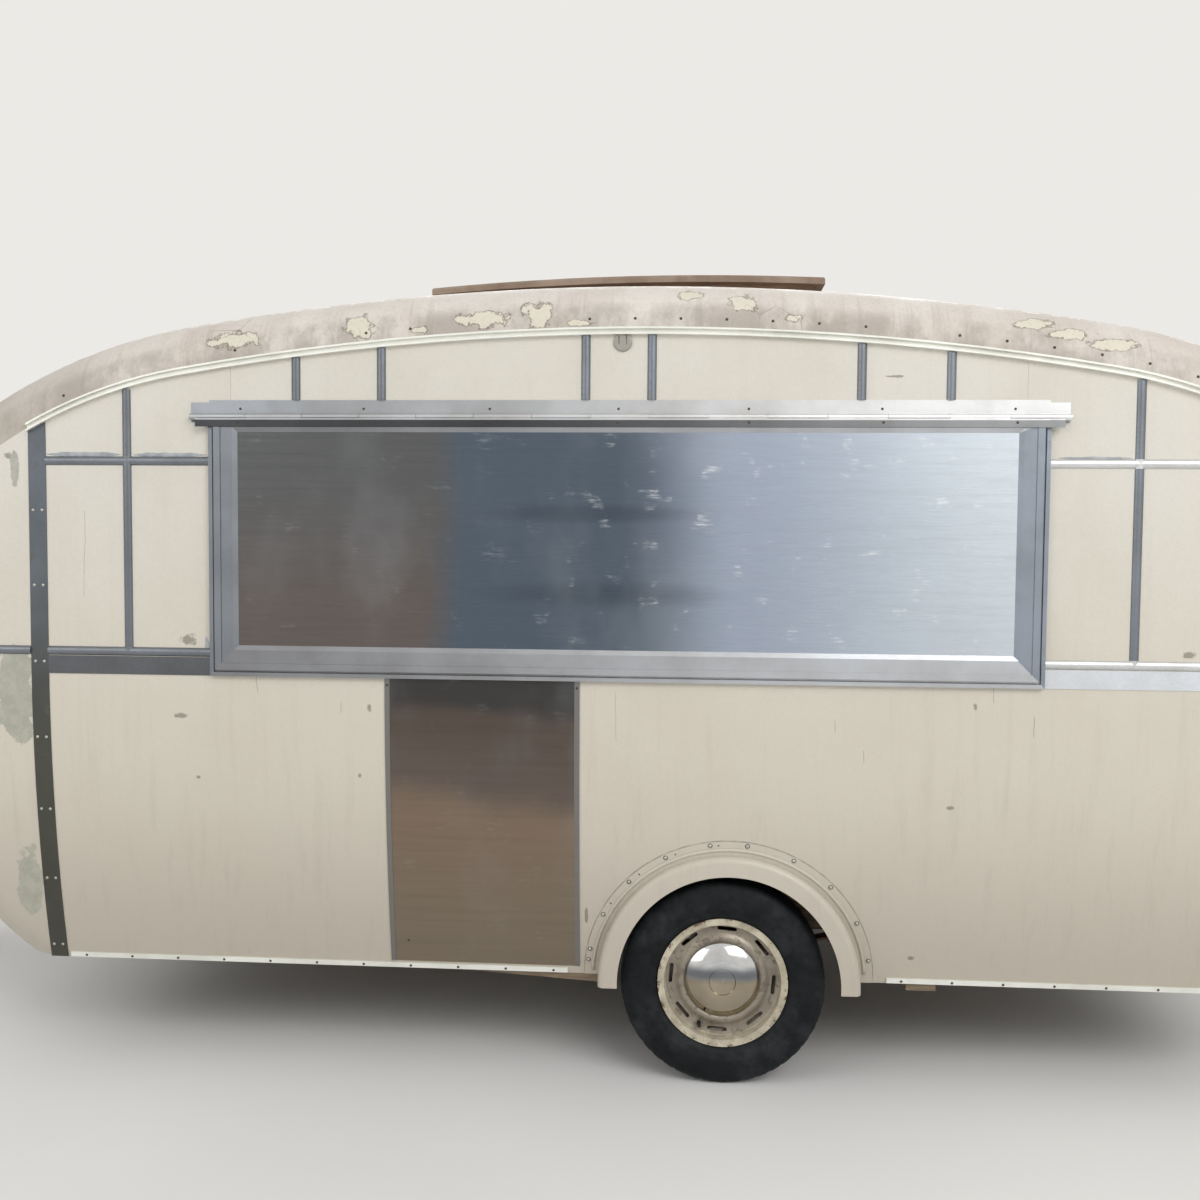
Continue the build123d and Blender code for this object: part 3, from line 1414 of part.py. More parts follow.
def turned_ring(points, rounding=0, rounded_beyond=0):
    """A closed outline of (distance from the middle, radius) turned about the wheels' axis."""
    with BuildPart() as body:
        with BuildSketch(wheel_section) as face:
            Polygon(*points, align=None)
            if rounding:
                corners = face.vertices().filter_by(lambda v: v.Y > rounded_beyond and v.X != wheel_y)
                fillet(corners, rounding)
        revolve(axis=wheel_axis)
    return body.part


# Rim section: distance outboard of the wheel's middle, radius; tyre side first
rim_outline = (
    (59.5, 182.5), (57.5, 168), (16, 165), (6, 150),
    (-40, 150), (-48, 165), (-57.5, 168), (-59.5, 182.5),
    (-63.5, 182.5), (-61.5, 164), (-50.1, 161), (-42.1, 146),
    (8.1, 146), (18.1, 161), (61.5, 164), (63.5, 182.5),
)
# Disc section: distance outboard of the hub's face, radius; from the bore to the rim
disc_line = ((0, 42), (0, 85), (14, 98), (20, 112), (20, 122), (8, 140), (22, 162.5))


def rim():
    """The near rim and its dished disc, slotted where the disc meets the rim."""
    front = [(hub_face_y + disc_t + y, r) for y, r in disc_line]
    back = [(hub_face_y + y, r) for y, r in reversed(disc_line)]
    with BuildPart() as body:
        add(turned_ring(front + back))
        with BuildSketch(side_plane(-wheel_y - rim_slot_from)):
            with Locations((axle_aft, axle_z)):
                with PolarLocations(rim_slot_r, rim_slot_count, start_angle=180 / rim_slot_count):
                    with Locations(Location((0, 0, 0), (0, 0, 90))):
                        SlotOverall(rim_slot_l, rim_slot_w)
        extrude(amount=rim_w, mode=Mode.SUBTRACT)
        add(turned_ring([(wheel_y + y, r) for y, r in rim_outline]))
    return body.part


# Tyre section: distance outboard of its middle, radius; outside from tread to bead, then inside
tyre_outline = (
    (0, 289), (60, 286), (74, 262), (79, 226), (66, 187), (58.8, 184), (57, 168.6),
    (46, 168.6), (51, 190), (66, 226), (61, 252), (46, 268), (0, 271),
)


def tyre():
    """The near tyre: a crowned tread and bulged side walls around a hollow."""
    outside = [(y, r) for y, r in tyre_outline]
    other = [(-y, r) for y, r in reversed(tyre_outline[1:-1])]
    return turned_ring([(wheel_y + y, r) for y, r in outside + other], tyre_rounding, tyre_rounded_beyond)


def hubcap():
    """The near nave plate: a thin dome with a sunk middle."""
    base = hub_face_y + hubcap_lift
    rim_y = base + hubcap_rim
    top_y = base + hubcap_rise
    middle_y = top_y - hubcap_sink / 2
    dome = (base + hubcap_rise * hubcap_shoulder[0], hubcap_r * hubcap_shoulder[1])
    thin = hubcap_t
    lip_r = hubcap_recess_r
    inner_dome = (dome[0] - thin, dome[1] - thin / 2)
    with BuildPart() as cap:
        with BuildSketch(wheel_section):
            with BuildLine():
                Polyline((base, hubcap_r - thin), (base, hubcap_r), (rim_y, hubcap_r))
                ThreePointArc((rim_y, hubcap_r), dome, (top_y, lip_r))
                Polyline((top_y, lip_r), (top_y - hubcap_sink, lip_r - 2), (middle_y, 0))
                Line((middle_y, 0), (middle_y - thin, 0))
                inner_lip = (top_y - thin, lip_r + 2)
                Polyline((middle_y - thin, 0), (top_y - hubcap_sink - thin, lip_r), inner_lip)
                ThreePointArc(inner_lip, inner_dome, (rim_y, hubcap_r - thin))
                Line((rim_y, hubcap_r - thin), (base, hubcap_r - thin))
            make_face()
        revolve(axis=wheel_axis)
    return cap.part


wheel_parts = []
for name, make in (("hub", hub), ("rim", rim), ("tyre", tyre), ("hubcap", hubcap)):
    near = make()
    for side, part in (("near", near), ("off", off_side(near))):
        part.label = f"{name}_{side}"
        wheel_parts.append(part)

# Corner steadies, folded up along the floor, each a channel leg with a foot plate
steadies = []
for end, x_side in (("front", -1), ("rear", 1)):
    for hand, y_side in (("near", -1), ("off", 1)):
        with BuildPart() as leg:
            pivot = (x_side * steady_x, steady_z)
            inward = -x_side
            y = (-steady_w / 2 + y_side * steady_y, steady_w / 2 + y_side * steady_y)
            bar_x = sorted((pivot[0], pivot[0] + inward * steady_length))
            with BuildSketch(side_plane(y[1])):
                with Locations((sum(bar_x) / 2, steady_z)):
                    SlotOverall(steady_length + steady_h, steady_h)
            extrude(amount=steady_w)
            hollow = (y[0] + steady_t, y[1] - steady_t)
            hollow_x = (bar_x[0] - steady_h, bar_x[1] + steady_h)
            hollow_z = (steady_z - steady_h, steady_z + steady_h / 2 - steady_t)
            add(block(hollow_x, hollow, hollow_z), mode=Mode.SUBTRACT)
            with BuildSketch(side_plane(y[1] + 1)):
                with Locations(pivot):
                    Circle(steady_pin_r + running_gap)
            extrude(amount=steady_w + 2, mode=Mode.SUBTRACT)
            tip = (pivot[0] + inward * steady_length, steady_z)
            with BuildSketch(side_plane(y_side * steady_y + steady_foot / 2)):
                with Locations(Location((*tip, 0), (0, 0, -inward * -steady_drop_angle))):
                    Rectangle(steady_foot, steady_t)
            extrude(amount=steady_foot)
        leg.part.label = f"steady_{end}_{hand}"
        steadies.append(leg.part)

pieces = [
    near_wall, off_wall, front_wall, rear_wall, roof, lantern_curb, lantern_roof, floor, awning_rails,
    corner_strips, side_mouldings, sill_strips, hatch_surround, hatch_frame, hatch_panel, door_infill,
    eye_plate, foot_packers, spat_near, spat_off, door, door_hinges, door_furniture, door_glass,
    window_frames, window_glass, tail_lamps, chassis, coupling, jockey_clamp, jockey_stem, jockey_fork,
    jockey_wheel, axle, springs,
]
os.makedirs("parts", exist_ok=True)
for part in [piece.part for piece in pieces] + wheel_parts + steadies:
    export_step(part, f"parts/{part.label}.step")
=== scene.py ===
import json
import math
import random

import bmesh
import bpy
from mathutils import Matrix, Vector


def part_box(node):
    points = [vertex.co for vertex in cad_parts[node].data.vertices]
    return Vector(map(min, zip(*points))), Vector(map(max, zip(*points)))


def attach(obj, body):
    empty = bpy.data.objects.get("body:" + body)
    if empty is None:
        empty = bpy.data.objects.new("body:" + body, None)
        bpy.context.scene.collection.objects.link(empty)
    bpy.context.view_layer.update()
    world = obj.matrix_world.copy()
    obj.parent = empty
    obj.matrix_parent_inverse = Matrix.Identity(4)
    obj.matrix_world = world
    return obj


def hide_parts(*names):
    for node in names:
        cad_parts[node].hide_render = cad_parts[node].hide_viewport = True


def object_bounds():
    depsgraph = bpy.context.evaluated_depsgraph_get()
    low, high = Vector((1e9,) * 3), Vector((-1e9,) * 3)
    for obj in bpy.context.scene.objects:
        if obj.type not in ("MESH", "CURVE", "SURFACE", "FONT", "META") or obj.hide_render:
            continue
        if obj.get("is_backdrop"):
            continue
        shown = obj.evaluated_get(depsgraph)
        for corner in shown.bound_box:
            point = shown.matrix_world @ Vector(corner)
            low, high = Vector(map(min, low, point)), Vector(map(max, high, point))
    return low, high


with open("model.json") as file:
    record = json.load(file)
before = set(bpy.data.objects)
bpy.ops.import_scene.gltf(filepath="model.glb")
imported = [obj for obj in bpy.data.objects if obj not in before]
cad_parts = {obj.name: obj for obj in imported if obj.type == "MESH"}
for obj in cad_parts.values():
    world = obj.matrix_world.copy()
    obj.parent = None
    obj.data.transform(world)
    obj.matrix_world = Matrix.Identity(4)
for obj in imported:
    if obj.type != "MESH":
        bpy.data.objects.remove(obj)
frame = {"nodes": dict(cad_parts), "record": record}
cad_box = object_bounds()
nodes = frame["nodes"]

# The body's shape in metres, from the same sizes as the CAD, for what sits on its skin.
# Places along the body are given from its middle, BODY_X.
BODY_X = 0.526
HALF_WIDTH = 0.99
BELT_Z = 1.165
SKIRT_Z = 0.29
TUCK = 0.085
TUCK_R = ((BELT_Z - SKIRT_Z) ** 2 + TUCK**2) / (2 * TUCK)
EDGE_R = 0.13
ROOF_Z = 2.239
HALF_LENGTH = 2.078
CROWN_ANGLE = math.radians(9.7)
SHOULDER_R = 1.53
SHOULDER_ANGLE = math.radians(34)
END_R = 0.42
CROWN_R = (
    HALF_LENGTH
    - SHOULDER_R * (math.sin(SHOULDER_ANGLE) - math.sin(CROWN_ANGLE))
    - END_R * (1 - math.sin(SHOULDER_ANGLE))
) / math.sin(CROWN_ANGLE)
RAIL_DEPTH, RAIL_HALF = 0.144, 0.01
RAIL_SCREW_GAP = 0.024  # from the rail's foot to its screws
WHEEL_X, WHEEL_Z, WHEEL_Y = 0.786, 0.289, 0.882
SPAT = (0.275, 0.291)  # the spat's centre, along the body and up
SPAT_BOLT_R = 0.397
SPAT_FLANGE_R = 0.4065
STRIP_X = 1.6845
FLAP_X, FLAP_Z = (-1.168, 1.089), (1.156, 1.849)
FIXED_LEAF_Y, MOVING_LEAF_Y = -HALF_WIDTH - 0.003, -1.017
STILE, TOP_RAIL = 0.068, 0.029
INFILL_STRIPS = (-0.683, -0.151)
SIDES = {"near": -1, "off": 1}


def turned(centre, radius, angle):
    """A place on a circle, the angle measured from straight up."""
    return (centre[0] + radius * math.sin(angle), centre[1] + radius * math.cos(angle))


CROWN = (0.0, ROOF_Z - CROWN_R)
SHOULDER = turned(CROWN, CROWN_R - SHOULDER_R, CROWN_ANGLE)
END = turned(SHOULDER, SHOULDER_R - END_R, SHOULDER_ANGLE)
ARCS = ((CROWN, CROWN_R, CROWN_ANGLE), (SHOULDER, SHOULDER_R, SHOULDER_ANGLE), (END, END_R, math.pi / 2))


def side_skin(x, z, lift=0.0, side=-1):
    """A place on the side wall and the way that it faces."""
    angle = math.asin(max(BELT_Z - z, 0) / TUCK_R)
    y = HALF_WIDTH - TUCK_R + (TUCK_R + lift) * math.cos(angle)
    height = z - lift * math.sin(angle)
    return Vector((BODY_X + x, side * y, height)), Vector((0, side * math.cos(angle), -math.sin(angle)))


def roof_skin(x, depth):
    """A place on the near side's rounded roof edge, depth being square to the roof's outline."""
    for centre, radius, limit in ARCS:
        sine = (abs(x) - centre[0]) / (radius - depth)
        if sine <= math.sin(limit) + 1e-9:
            break
    angle = math.asin(min(sine, 1.0))
    up = Vector((math.copysign(math.sin(angle), x), 0, math.cos(angle)))
    lean = math.asin(max(EDGE_R - depth, 0) / EDGE_R)
    normal = Vector((0, -1, 0)) * math.cos(lean) + up * math.sin(lean)
    base = Vector((BODY_X + math.copysign(centre[0], x), 0, centre[1])) + up * (radius - max(depth, EDGE_R))
    base.y = EDGE_R - HALF_WIDTH
    return base + normal * EDGE_R, normal


# Materials

def colour(text):
    """A screen colour such as "dcd5c6" as linear values."""
    values = [int(text[i:i + 2], 16) / 255 for i in (0, 2, 4)]
    linear = [v / 12.92 if v <= 0.04045 else ((v + 0.055) / 1.055) ** 2.4 for v in values]
    return (*linear, 1.0)


class Nodes:
    """A node tree, emptied, with helpers that add nodes to it."""

    def __init__(self, owner):
        owner.use_nodes = True
        self.tree = owner.node_tree
        self.tree.nodes.clear()

    def add(self, kind, settings=None, **inputs):
        """A node. An underscore in an input's name stands for a space."""
        node = self.tree.nodes.new("ShaderNode" + kind)
        for key, value in (settings or {}).items():
            setattr(node, key, value)
        for key, value in inputs.items():
            self.feed(node.inputs[key.replace("_", " ")], value)
        return node

    def feed(self, socket, value):
        """A link from another node's output, or a plain value."""
        if isinstance(value, bpy.types.NodeSocket):
            self.tree.links.new(value, socket)
        else:
            socket.default_value = value

    def math(self, operation, a, b=0.0):
        node = self.add("Math", {"operation": operation})
        self.feed(node.inputs[0], a)
        self.feed(node.inputs[1], b)
        return node.outputs[0]


class Look(Nodes):
    """A node material in the scene's metres. Its helpers return the outputs of what they add."""

    def __init__(self, name, roughness=0.5, metallic=0.0):
        self.material = bpy.data.materials.new(name)
        super().__init__(self.material)
        self.shader = self.add("BsdfPrincipled", Roughness=roughness, Metallic=metallic)
        self.add("OutputMaterial", Surface=self.shader.outputs[0])
        self.place = self.add("TexCoord").outputs["Object"]
        self.x, self.y, self.z = self.add("SeparateXYZ", Vector=self.place).outputs
        self.run = self.math("SUBTRACT", self.x, BODY_X)

    def span(self, value, low, high, to_low=0.0, to_high=1.0):
        """value eased from to_low at low to to_high at high."""
        settings = {"interpolation_type": "SMOOTHSTEP"}
        if high < low:
            low, high, to_low, to_high = high, low, to_high, to_low
        node = self.add("MapRange", settings, Value=value, From_Min=low, From_Max=high)
        self.feed(node.inputs["To Min"], to_low)
        self.feed(node.inputs["To Max"], to_high)
        return node.outputs[0]

    def noise(self, scale, detail=3.0, roughness=0.55, stretch=(1, 1, 1), shift=0.0, distortion=0.0):
        where = self.add("Mapping", Vector=self.place, Scale=stretch, Location=(shift, shift, shift))
        node = self.add("TexNoise", Vector=where.outputs[0], Scale=scale, Detail=detail,
                        Roughness=roughness, Distortion=distortion)
        return node.outputs[0]

    def mix(self, factor, a, b, mode="MIX"):
        node = self.add("Mix", {"data_type": "RGBA", "blend_type": mode, "clamp_factor": True})
        self.feed(node.inputs[0], factor)
        self.feed(node.inputs[6], a)
        self.feed(node.inputs[7], b)
        return node.outputs[2]

    def both(self, a, b):
        return self.math("MULTIPLY", a, b)

    def either(self, *masks):
        total = masks[0]
        for mask in masks[1:]:
            total = self.math("MAXIMUM", total, mask)
        return total

    def ramp(self, value, *stops):
        """Colours eased one into the next along a value, given as (place, colour) pairs."""
        base = colour(stops[0][1])
        for (low, _), (high, text) in zip(stops, stops[1:]):
            base = self.mix(self.span(value, low, high), base, colour(text))
        return base

    def band(self, value, low, high, soft=0.001):
        """1 between low and high, 0 outside."""
        return self.both(self.span(value, low - soft, low + soft), self.span(value, high + soft, high - soft))

    def away(self, x, z, reach_x, reach_z):
        """How far a place on the side is from an ellipse's middle: 1 on the ellipse."""
        along = self.math("DIVIDE", self.math("SUBTRACT", self.run, x), reach_x)
        up = self.math("DIVIDE", self.math("SUBTRACT", self.z, z), reach_z)
        return self.math("SQRT", self.math("ADD", self.both(along, along), self.both(up, up)))

    def nearest(self, ellipses, wobble):
        """The least of the distances to several ellipses, made uneven by wobble."""
        least = None
        for ellipse in ellipses:
            far = self.away(*ellipse)
            least = far if least is None else self.math("MINIMUM", least, far)
        return self.math("ADD", least, wobble)

    def spot(self, x, z, reach_x, reach_z, edge=0.35):
        """1 inside an ellipse on the side, 0 outside it."""
        return self.span(self.away(x, z, reach_x, reach_z), 1 + edge, 1 - edge)

    def line(self, x, foot, top, half, sway):
        """A thin crack that runs up the side, swaying a little."""
        off = self.math("ABSOLUTE", self.math("SUBTRACT", self.math("SUBTRACT", self.run, sway), x))
        return self.both(self.span(off, half * 1.6, half * 0.5, 0, 0.6), self.band(self.z, foot, top, 0.006))

    def on_near_side(self):
        return self.span(self.y, 0.0, -0.02)

    def bump(self, height, distance, strength=1.0):
        node = self.add("Bump", Height=height, Distance=distance, Strength=strength)
        if self.shader.inputs["Normal"].is_linked:
            self.feed(node.inputs["Normal"], self.shader.inputs["Normal"].links[0].from_socket)
        self.feed(self.shader.inputs["Normal"], node.outputs[0])

    def paint(self, value):
        self.feed(self.shader.inputs["Base Color"], value)

    def rough(self, value):
        self.feed(self.shader.inputs["Roughness"], value)


# Marks on the near side
SMUDGES = (  # x, z, reach along, reach up
    (-1.247, 1.238, 0.020, 0.014), (1.484, 1.235, 0.014, 0.009), (-0.734, 1.055, 0.006, 0.010),
    (-0.764, 0.863, 0.006, 0.007), (0.928, 1.084, 0.005, 0.010), (-1.231, 0.846, 0.005, 0.005),
    (0.785, 0.369, 0.008, 0.005), (-1.275, 1.024, 0.018, 0.007), (0.700, 1.972, 0.020, 0.003),
    (-1.770, 1.755, 0.009, 0.009), (-0.125, 0.469, 0.004, 0.022), (0.871, 0.807, 0.010, 0.004),
)
CRACKS = (  # x, foot, top, half width
    (-1.550, 1.360, 1.600, 0.0006), (-1.055, 1.095, 1.138, 0.0008), (0.977, 1.099, 1.139, 0.0007),
    (1.087, 1.007, 1.062, 0.0009), (0.555, 1.009, 1.042, 0.0007), (-0.043, 0.975, 1.111, 0.0005),
    (-0.812, 1.040, 1.070, 0.0007), (0.633, 0.930, 0.960, 0.0007),
)
FILLER = ((-1.760, 1.075, 0.055, 0.125), (-1.750, 0.525, 0.040, 0.10), (-1.752, 1.715, 0.014, 0.045))
FLAKES = (
    (-1.112, 2.078, 0.062, 0.021), (-0.758, 2.114, 0.038, 0.026), (-0.595, 2.100, 0.022, 0.010),
    (-0.420, 2.128, 0.060, 0.018), (-0.262, 2.140, 0.036, 0.032), (0.147, 2.196, 0.032, 0.012),
    (0.290, 2.172, 0.036, 0.022), (0.420, 2.128, 0.022, 0.012), (1.060, 2.112, 0.040, 0.015),
    (1.160, 2.084, 0.050, 0.013), (1.270, 2.056, 0.060, 0.014), (-0.150, 2.118, 0.034, 0.008),
)


def wall_paint():
    """Old gloss paint: paler high up, streaked and grey low down, with slack dents and its marks."""
    look = Look("wall_paint")
    lower = look.mix(look.span(look.z, 0.3, 0.95), colour("b9b1a3"), colour("d1cabb"))
    base = look.mix(look.span(look.z, 0.95, 1.7), lower, colour("d9d4c9"))
    blotch = look.noise(2.2, 5, 0.6)
    base = look.mix(look.span(blotch, 0.4, 0.75, 0, 0.22), base, colour("bdb3a1"))
    streaks = look.noise(1.0, 6, 0.65, (26, 26, 1.1), 3.0)
    dirt = look.both(look.span(streaks, 0.5, 0.72), look.span(look.z, 1.5, 0.35, 0.05, 0.2))
    base = look.mix(dirt, base, colour("a0978a"))
    grain = look.noise(160, 2, 0.6)
    base = look.mix(look.span(grain, 0.3, 0.8, 0, 0.1), base, colour("a69b86"))
    pits = look.noise(38, 6, 0.7, shift=9.0)
    specks = look.both(look.span(pits, 0.71, 0.77), look.span(look.z, 0.9, 0.35, 0.2, 0.75))
    base = look.mix(specks, base, colour("77695a"))
    wobble = look.span(look.noise(42, 4, 0.7), 0.3, 0.7, -0.45, 0.45)
    smudge = look.nearest(SMUDGES, wobble)
    marks = look.span(smudge, 1.35, 0.75, 0, 0.62)
    sway = look.math("MULTIPLY", look.math("SUBTRACT", look.noise(9, 3), 0.5), 0.02)
    for x, foot, top, half in CRACKS:
        marks = look.either(marks, look.line(x, foot, top, half, sway))
    base = look.mix(look.both(marks, look.on_near_side()), base, colour("5f5647"))
    ragged = look.span(look.noise(14, 4, 0.6), 0.3, 0.7, -0.28, 0.28)
    filler = look.span(look.nearest(FILLER, ragged), 1.05, 0.97)
    tone = look.mix(look.span(look.noise(30, 5, 0.7), 0.35, 0.65), colour("9a9b8d"), colour("adab9d"))
    base = look.mix(look.both(look.both(filler, look.on_near_side()), 0.85), base, tone)
    from_spat = look.away(*SPAT, SPAT_FLANGE_R, SPAT_FLANGE_R)
    broken = look.span(look.noise(25, 4, 0.7), 0.35, 0.6, 0.2, 0.75)
    seam = look.both(look.band(from_spat, 0.998, 1.004, 0.003), broken)
    base = look.mix(look.both(seam, look.span(look.z, 0.27, 0.32)), base, colour("6f6555"))
    look.paint(base)
    look.rough(look.span(look.noise(6, 4), 0.3, 0.75, 0.32, 0.55))
    look.bump(look.noise(2.6, 1), 0.01, 0.5)
    look.bump(look.noise(210, 2), 0.0004, 0.25)
    look.shader.inputs["Coat Weight"].default_value = 0.12
    look.shader.inputs["Coat Roughness"].default_value = 0.35
    return look.material


def roof_paint():
    """Weathered greyish cream: stained along its foot, peeled in places over the rounded edge."""
    look = Look("roof_paint")
    base = look.mix(look.span(look.noise(3.5, 5, 0.6), 0.35, 0.7), colour("dcd5cc"), colour("cbc1b6"))
    side = look.math("ABSOLUTE", look.y)
    by_rail = look.span(side, 0.966, 0.986)
    stain = look.both(look.span(look.noise(9, 5, 0.65, (1, 1, 0.6)), 0.36, 0.6), by_rail)
    base = look.mix(look.both(stain, 0.6), base, colour("968d82"))
    base = look.mix(look.span(look.run, -1.3, -1.75, 0, 0.45), base, colour("9f978b"))
    drips = look.both(look.span(look.noise(1.2, 5, 0.7, (40, 1, 1)), 0.52, 0.66), look.span(side, 0.9, 0.98))
    base = look.mix(look.both(drips, 0.2), base, colour("958878"))
    ragged = look.span(look.noise(26, 6, 0.65), 0.3, 0.7, -0.5, 0.5)
    near_far = look.nearest(FLAKES, ragged)
    edge_zone = look.both(look.span(side, 0.88, 0.92), look.span(side, 0.985, 0.975))
    scattered = look.noise(7.5, 6, 0.62, (1, 0.6, 1), 5.0)
    off_far = look.math("ADD", look.span(scattered, 0.54, 0.6, 1.3, 0.9), look.span(edge_zone, 0, 1, 1, 0))
    near_far = look.math("ADD", near_far, look.span(look.y, -0.5, -0.3, 0, 9))
    off_far = look.math("ADD", off_far, look.span(look.y, 0.5, 0.3, 0, 9))
    far = look.math("MINIMUM", near_far, off_far)
    flake = look.span(far, 1.03, 0.97)
    base = look.mix(look.span(far, 1.28, 1.06, 0, 0.7), base, colour("6f5f51"))
    base = look.mix(flake, base, colour("dad3c1"))
    cracks = look.add("TexVoronoi", {"feature": "DISTANCE_TO_EDGE"}, Vector=look.place, Scale=9.0)
    lines = look.both(look.span(cracks.outputs[0], 0.010, 0.003), look.span(look.noise(2.4, 2), 0.58, 0.66))
    base = look.mix(look.both(lines, 0.6), base, colour("5d5046"))
    chip_zone = look.both(look.span(side, 0.885, 0.895), look.span(side, 0.925, 0.91))
    chips = look.both(look.span(look.noise(24, 5, 0.7, shift=7.0), 0.5, 0.56), chip_zone)
    base = look.mix(look.both(chips, 0.85), base, colour("efebe2"))
    top = look.mix(look.span(look.noise(1.8, 6, 0.65), 0.35, 0.65), colour("c2b7aa"), colour("9c9389"))
    base = look.mix(look.span(side, 0.86, 0.6), base, top)
    base = look.mix(look.span(look.noise(120, 3), 0.45, 0.8, 0, 0.22), base, colour("998b7b"))
    look.paint(base)
    look.rough(look.span(look.noise(8, 4), 0.3, 0.7, 0.42, 0.7))
    look.bump(look.both(look.span(look.z, 1.6, 2.0), look.noise(3.0, 2)), 0.01, 0.5)
    look.bump(look.math("SUBTRACT", look.noise(90, 3), look.both(flake, 0.8)), 0.0008, 0.6)
    return look.material


def metal(name, tone, roughness=(0.34, 0.5), brush=(1, 1, 1), scale=200.0, foul=None, share=0.64,
          bare=0.85):
    """Aged bare metal, clouded, brushed along one way and fouled. tone is a colour or tone(look)."""
    look = Look(name, metallic=bare)
    base = tone(look) if callable(tone) else colour(tone)
    base = look.mix(look.span(look.noise(5.0, 5, 0.6), 0.35, 0.7, 0, 0.5), base, colour("d4d2cd"), "MULTIPLY")
    grain = look.noise(scale, 2, 0.6, brush)
    base = look.mix(look.span(grain, 0.3, 0.75, 0.0, 0.25), base, colour("d2d2d2"), "MULTIPLY")
    if foul:
        blots = look.span(look.noise(22, 6, 0.72, shift=4.0), share, share + 0.06)
        base = look.mix(blots, base, colour(foul))
        look.feed(look.shader.inputs["Metallic"], look.math("SUBTRACT", bare, look.both(blots, 0.6)))
    look.paint(base)
    look.rough(look.span(grain, 0.3, 0.75, *roughness))
    look.bump(grain, 0.0003, 0.35)
    look.bump(look.noise(14, 3), 0.0015, 0.3)
    return look.material


def reflection_front_to_rear(look, front, rear, low=-1.3, high=1.0):
    """A painted reflection: darker at the front, brighter at the rear."""
    return look.mix(look.span(look.run, low, high), colour(front), colour(rear))


def bead_tone(look):
    """Painted reflections on the beads: upright beads dull, level beads brighter and brightening to the rear,
    the belt strip darker at the front and bright at the rear.
    """
    level = look.either(look.band(look.z, 1.7275, 1.7525), look.band(look.z, 1.1905, 1.2175))
    belt = look.band(look.z, 1.137, 1.1905)
    # painted reflection: level beads brighter than the upright ones, both brightening to the rear
    base = look.mix(level, reflection_front_to_rear(look, "777c82", "868c94"), reflection_front_to_rear(look, "80848a", "dddede"))
    return look.mix(belt, base, reflection_front_to_rear(look, "6b6e72", "e4e8ee", -1.2, 1.2))


def hatch_tone(look):
    """Painted reflections on the hatch: upright members dull, level members, leaf and roll brightening to the
    rear, moving leaf dark, and the roll near-white as a painted highlight.
    """
    from_front = look.math("SUBTRACT", look.run, FLAP_X[0])
    from_rear = look.math("SUBTRACT", FLAP_X[1], look.run)
    from_foot = look.math("SUBTRACT", look.z, FLAP_Z[0])
    from_top = look.math("MULTIPLY", look.math("SUBTRACT", FLAP_Z[1], look.z), STILE / TOP_RAIL)
    from_end = look.math("MINIMUM", from_front, from_rear)
    from_level = look.math("MINIMUM", from_foot, from_top)
    upright = look.span(look.math("SUBTRACT", from_end, from_level), 0.001, -0.001)
    level_tone = reflection_front_to_rear(look, "8f9094", "cbced3")
    base = look.mix(upright, level_tone, reflection_front_to_rear(look, "8a8f96", "99a1ac"))
    moving = look.band(look.z, 1.8335, 1.8525, 0.0008)
    base = look.mix(moving, base, reflection_front_to_rear(look, "4b4d50", "9a9c9e", -0.4, 1.1))
    # the roll painted near-white: a painted highlight along it
    base = look.mix(look.span(look.z, 1.8525, 1.8545), base, reflection_front_to_rear(look, "bbbdc1", "f0f0f0"))
    return look.mix(look.span(look.z, 1.870, 1.873), base, reflection_front_to_rear(look, "a3a7ad", "e4e5e6"))


def strip_tone(look):
    """Corner strips: grey high up, browner and greener low down, paler at the rear."""
    front = look.mix(look.span(look.z, 0.9, 1.5), colour("53534c"), colour("686e75"))
    return look.mix(look.span(look.run, -0.5, 0.5), front, colour("909396"))


def brushed_sheet(look, base, rub, scuffed):
    """A sheet rubbed along its length, with soft blotches, and bright scuffs where scuffed says."""
    rubbed = look.noise(6.0, 5, 0.6, (0.35, 1, 10), 2.0)
    base = look.mix(look.span(rubbed, 0.34, 0.68, 0, rub), base, colour("8a8b8f"), "MULTIPLY")
    fine = look.noise(48.0, 3, 0.6, (0.3, 1, 10), 5.0)
    base = look.mix(look.span(fine, 0.35, 0.7, 0, rub * 0.7), base, colour("bcbcc0"), "MULTIPLY")
    haze = look.noise(2.2, 4, 0.6, (1, 1, 0.6), 8.0)
    base = look.mix(look.span(haze, 0.5, 0.75, 0, 0.18), base, colour("b3b8be"))
    dabs = look.noise(13.0, 3, 0.55, shift=3.0)
    short = look.noise(60.0, 4, 0.7, (0.3, 1, 2.6), 1.0)
    spread = look.both(look.span(dabs, 0.58, 0.70), look.span(short, 0.46, 0.66))
    base = look.mix(look.both(spread, scuffed), base, colour("eef1f3"))
    look.paint(base)
    look.rough(look.span(rubbed, 0.35, 0.65, 0.3, 0.46))
    look.bump(fine, 0.0003, 0.3)
    look.bump(look.noise(3.0, 2), 0.005, 0.3)


def panel_metal():
    """Brushed aluminium sheet with a painted reflection: brown-grey to the front, slate blue in the middle,
    bright to the rear.
    """
    look = Look("panel_metal", metallic=0.9)
    wave = look.span(look.noise(1.6, 3), 0.3, 0.7, -0.03, 0.03)
    along = look.math("ADD", look.run, wave)
    # painted reflection: brown-grey at the front, through slate blue, to bright at the rear
    front = look.ramp(look.z, (1.25, "6e6662"), (1.75, "646566"))
    middle = look.ramp(along, (-0.05, "5b6774"), (0.30, "a9b3c4"), (1.05, "d6dfe6"))
    base = look.mix(look.span(along, -0.58, -0.46), front, middle)
    dark = look.either(look.spot(-0.13, 1.60, 0.24, 0.022, 0.6), look.spot(-0.08, 1.38, 0.26, 0.03, 0.6))
    base = look.mix(look.both(dark, 0.4), base, colour("3e4650"))
    brushed_sheet(look, base, 0.18, look.span(along, -0.6, 0.6, 0.08, 0.8))
    return look.material


